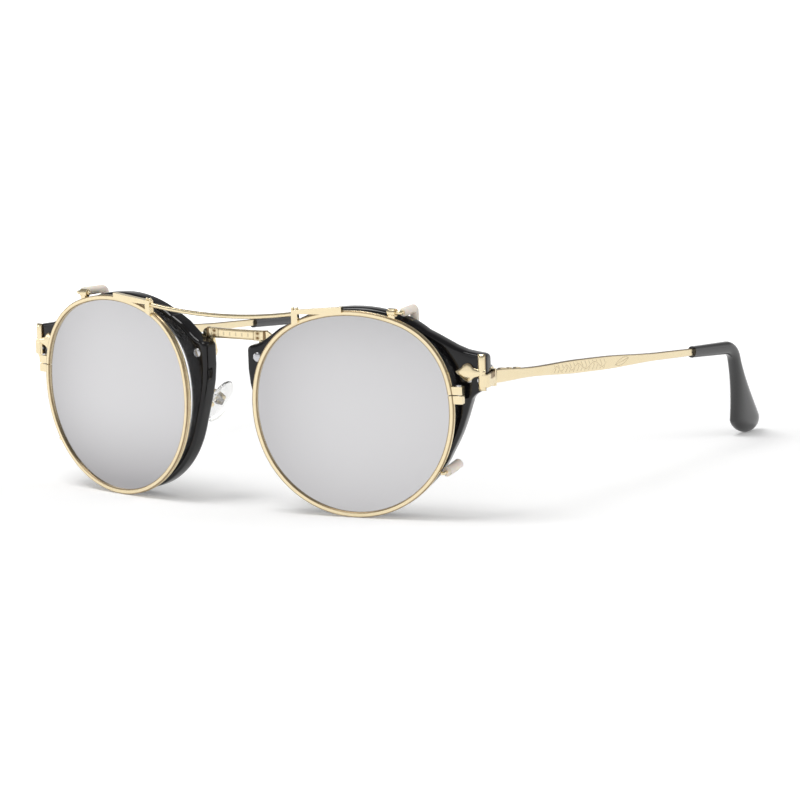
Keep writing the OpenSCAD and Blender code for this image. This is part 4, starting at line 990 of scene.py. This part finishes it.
def camera_place(azimuth, elevation, roll, target, distance):
    """A camera that looks at the target from an azimuth and an elevation, rolled about its own axis."""
    a, e, r = (math.radians(v) for v in (azimuth, elevation, roll))
    turn = Matrix.Rotation(a, 3, "Z") @ Matrix.Rotation(math.pi / 2 - e, 3, "X") @ Matrix.Rotation(r, 3, "Z")
    return Matrix.Translation(target + turn.col[2] * distance) @ turn.to_4x4()


class GLASSES_OT_stage(bpy.types.Operator):
    """Make the camera, the lamps, the white floor and the surroundings"""
    bl_idname = "glasses.stage"
    bl_label = "Stage"

    def execute(self, context):
        scene = context.scene
        view = bpy.data.cameras.new("camera")
        view.sensor_width, view.lens, view.clip_start, view.clip_end = 36, 150.84, 0.01, 20
        camera = linked("camera", view)
        camera.matrix_world = camera_place(31.16, 9.11, -0.91, Vector((48.63, -4.21, 4.10)) * MM, 0.8)
        scene.camera = camera
        scene.view_settings.view_transform = "Standard"

        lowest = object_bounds()[0][2] - 0.02 * MM
        ground = bpy.data.meshes.new("floor")
        corners = ((-6, -6), (6, -6), (6, 6), (-6, 6))
        ground.from_pydata([(x, y, lowest) for x, y in corners], [], [(0, 1, 2, 3)])
        floor = linked("floor", ground)
        white = Finish("floor", "white_floor", Roughness=1.0, Specular_IOR_Level=0.0)
        white.feed(Base_Color=white.mix(white.noise(40, 2), scene.glasses_colours.floor, (0.92, 0.92, 0.92)))
        x, y = white.part("Object", 0), white.part("Object", 1) - 0.06
        away = (x * x + y * y) ** 0.5
        ray = white.node("LightPath").outputs
        direct = Value(white, ray["Is Camera Ray"]) + Value(white, ray["Is Transmission Ray"])
        bright = away.above(0.11, 0.5) * direct * 0.85 + 0.16
        glow = white.node("Emission", {0: (1, 1, 1, 1), 1: bright})
        plain = white.shader.outputs[0]
        lit = white.node("AddShader", {0: plain, 1: glow.outputs[0]}).outputs[0]
        seen = direct + Value(white, ray["Is Glossy Ray"])
        both = white.node("MixShader", {0: seen, 1: plain, 2: lit})
        white.give(white.tree.nodes["Material Output"].inputs[0], both.outputs[0])
        ground.materials.append(FINISHES["floor"])
        floor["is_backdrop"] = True

        for name, place, aim, power in (("top_box", (-0.22, -0.25, 1.0), (0, 0.02, 0), 5.0),
                                        ("left_box", (-1.0, -0.55, 0.35), (0, 0, 0), 1.1),
                                        ("right_box", (0.9, 0.5, 0.6), (0, 0.03, 0), 1.2)):
            light = bpy.data.lights.new(name, "AREA")
            light.shape, light.size, light.energy = "SQUARE", 0.5, power
            lamp = linked(name, light)
            lamp.location = place
            lamp.rotation_euler = (Vector(aim) - Vector(place)).to_track_quat("-Z", "Y").to_euler()

        scene.world = bpy.data.worlds.new("surroundings")
        sky = Nodes(scene.world)
        ray = sky.node("LightPath").outputs
        dim = sky.part("Generated", 2).above(0.02, 0.55, 1.0, 0.22)
        shown = sky.node("Mix", {0: ray["Is Glossy Ray"], 2: 0.55, 3: dim}).outputs[0]
        seen = sky.node("Math", {0: ray["Is Camera Ray"], 1: ray["Is Transmission Ray"]},
                        operation="MAXIMUM").outputs[0]
        strength = sky.node("Mix", {0: seen, 2: shown, 3: 1.0}).outputs[0]
        air = sky.tree.nodes["Background"].inputs
        sky.give(air["Color"], (1, 1, 1, 1))
        sky.give(air["Strength"], strength)
        return {"FINISHED"}


class GLASSES_OT_finishes(bpy.types.Operator):
    """Make the materials"""
    bl_idname = "glasses.finishes"
    bl_label = "Finishes"

    def execute(self, context):
        make_finishes(context.scene.glasses_colours)
        return {"FINISHED"}


STEPS = (GLASSES_OT_finishes, GLASSES_OT_rims, GLASSES_OT_lenses, GLASSES_OT_clip, GLASSES_OT_hooks,
         GLASSES_OT_bridge, GLASSES_OT_hinges, GLASSES_OT_temples, GLASSES_OT_stage)


class GLASSES_PT_panel(bpy.types.Panel):
    """Lists the steps that dress the glasses"""
    bl_idname = "GLASSES_PT_panel"
    bl_label = "Flip-up sunglasses"
    bl_space_type = "VIEW_3D"
    bl_region_type = "UI"
    bl_category = "Glasses"

    def draw(self, context):
        column = self.layout.column()
        for step in STEPS:
            column.operator(step.bl_idname)


CLASSES = (GlassesSizes, GlassesColours, *STEPS, GLASSES_PT_panel)


def register():
    for cls in CLASSES:
        bpy.utils.register_class(cls)
    bpy.types.Scene.glasses_sizes = PointerProperty(type=GlassesSizes)
    bpy.types.Scene.glasses_colours = PointerProperty(type=GlassesColours)


def unregister():
    del bpy.types.Scene.glasses_colours
    del bpy.types.Scene.glasses_sizes
    for cls in reversed(CLASSES):
        bpy.utils.unregister_class(cls)


def main():
    register()
    for step in STEPS:
        group, name = step.bl_idname.split(".")
        getattr(getattr(bpy.ops, group), name)()


if __name__ == "__main__":
    main()
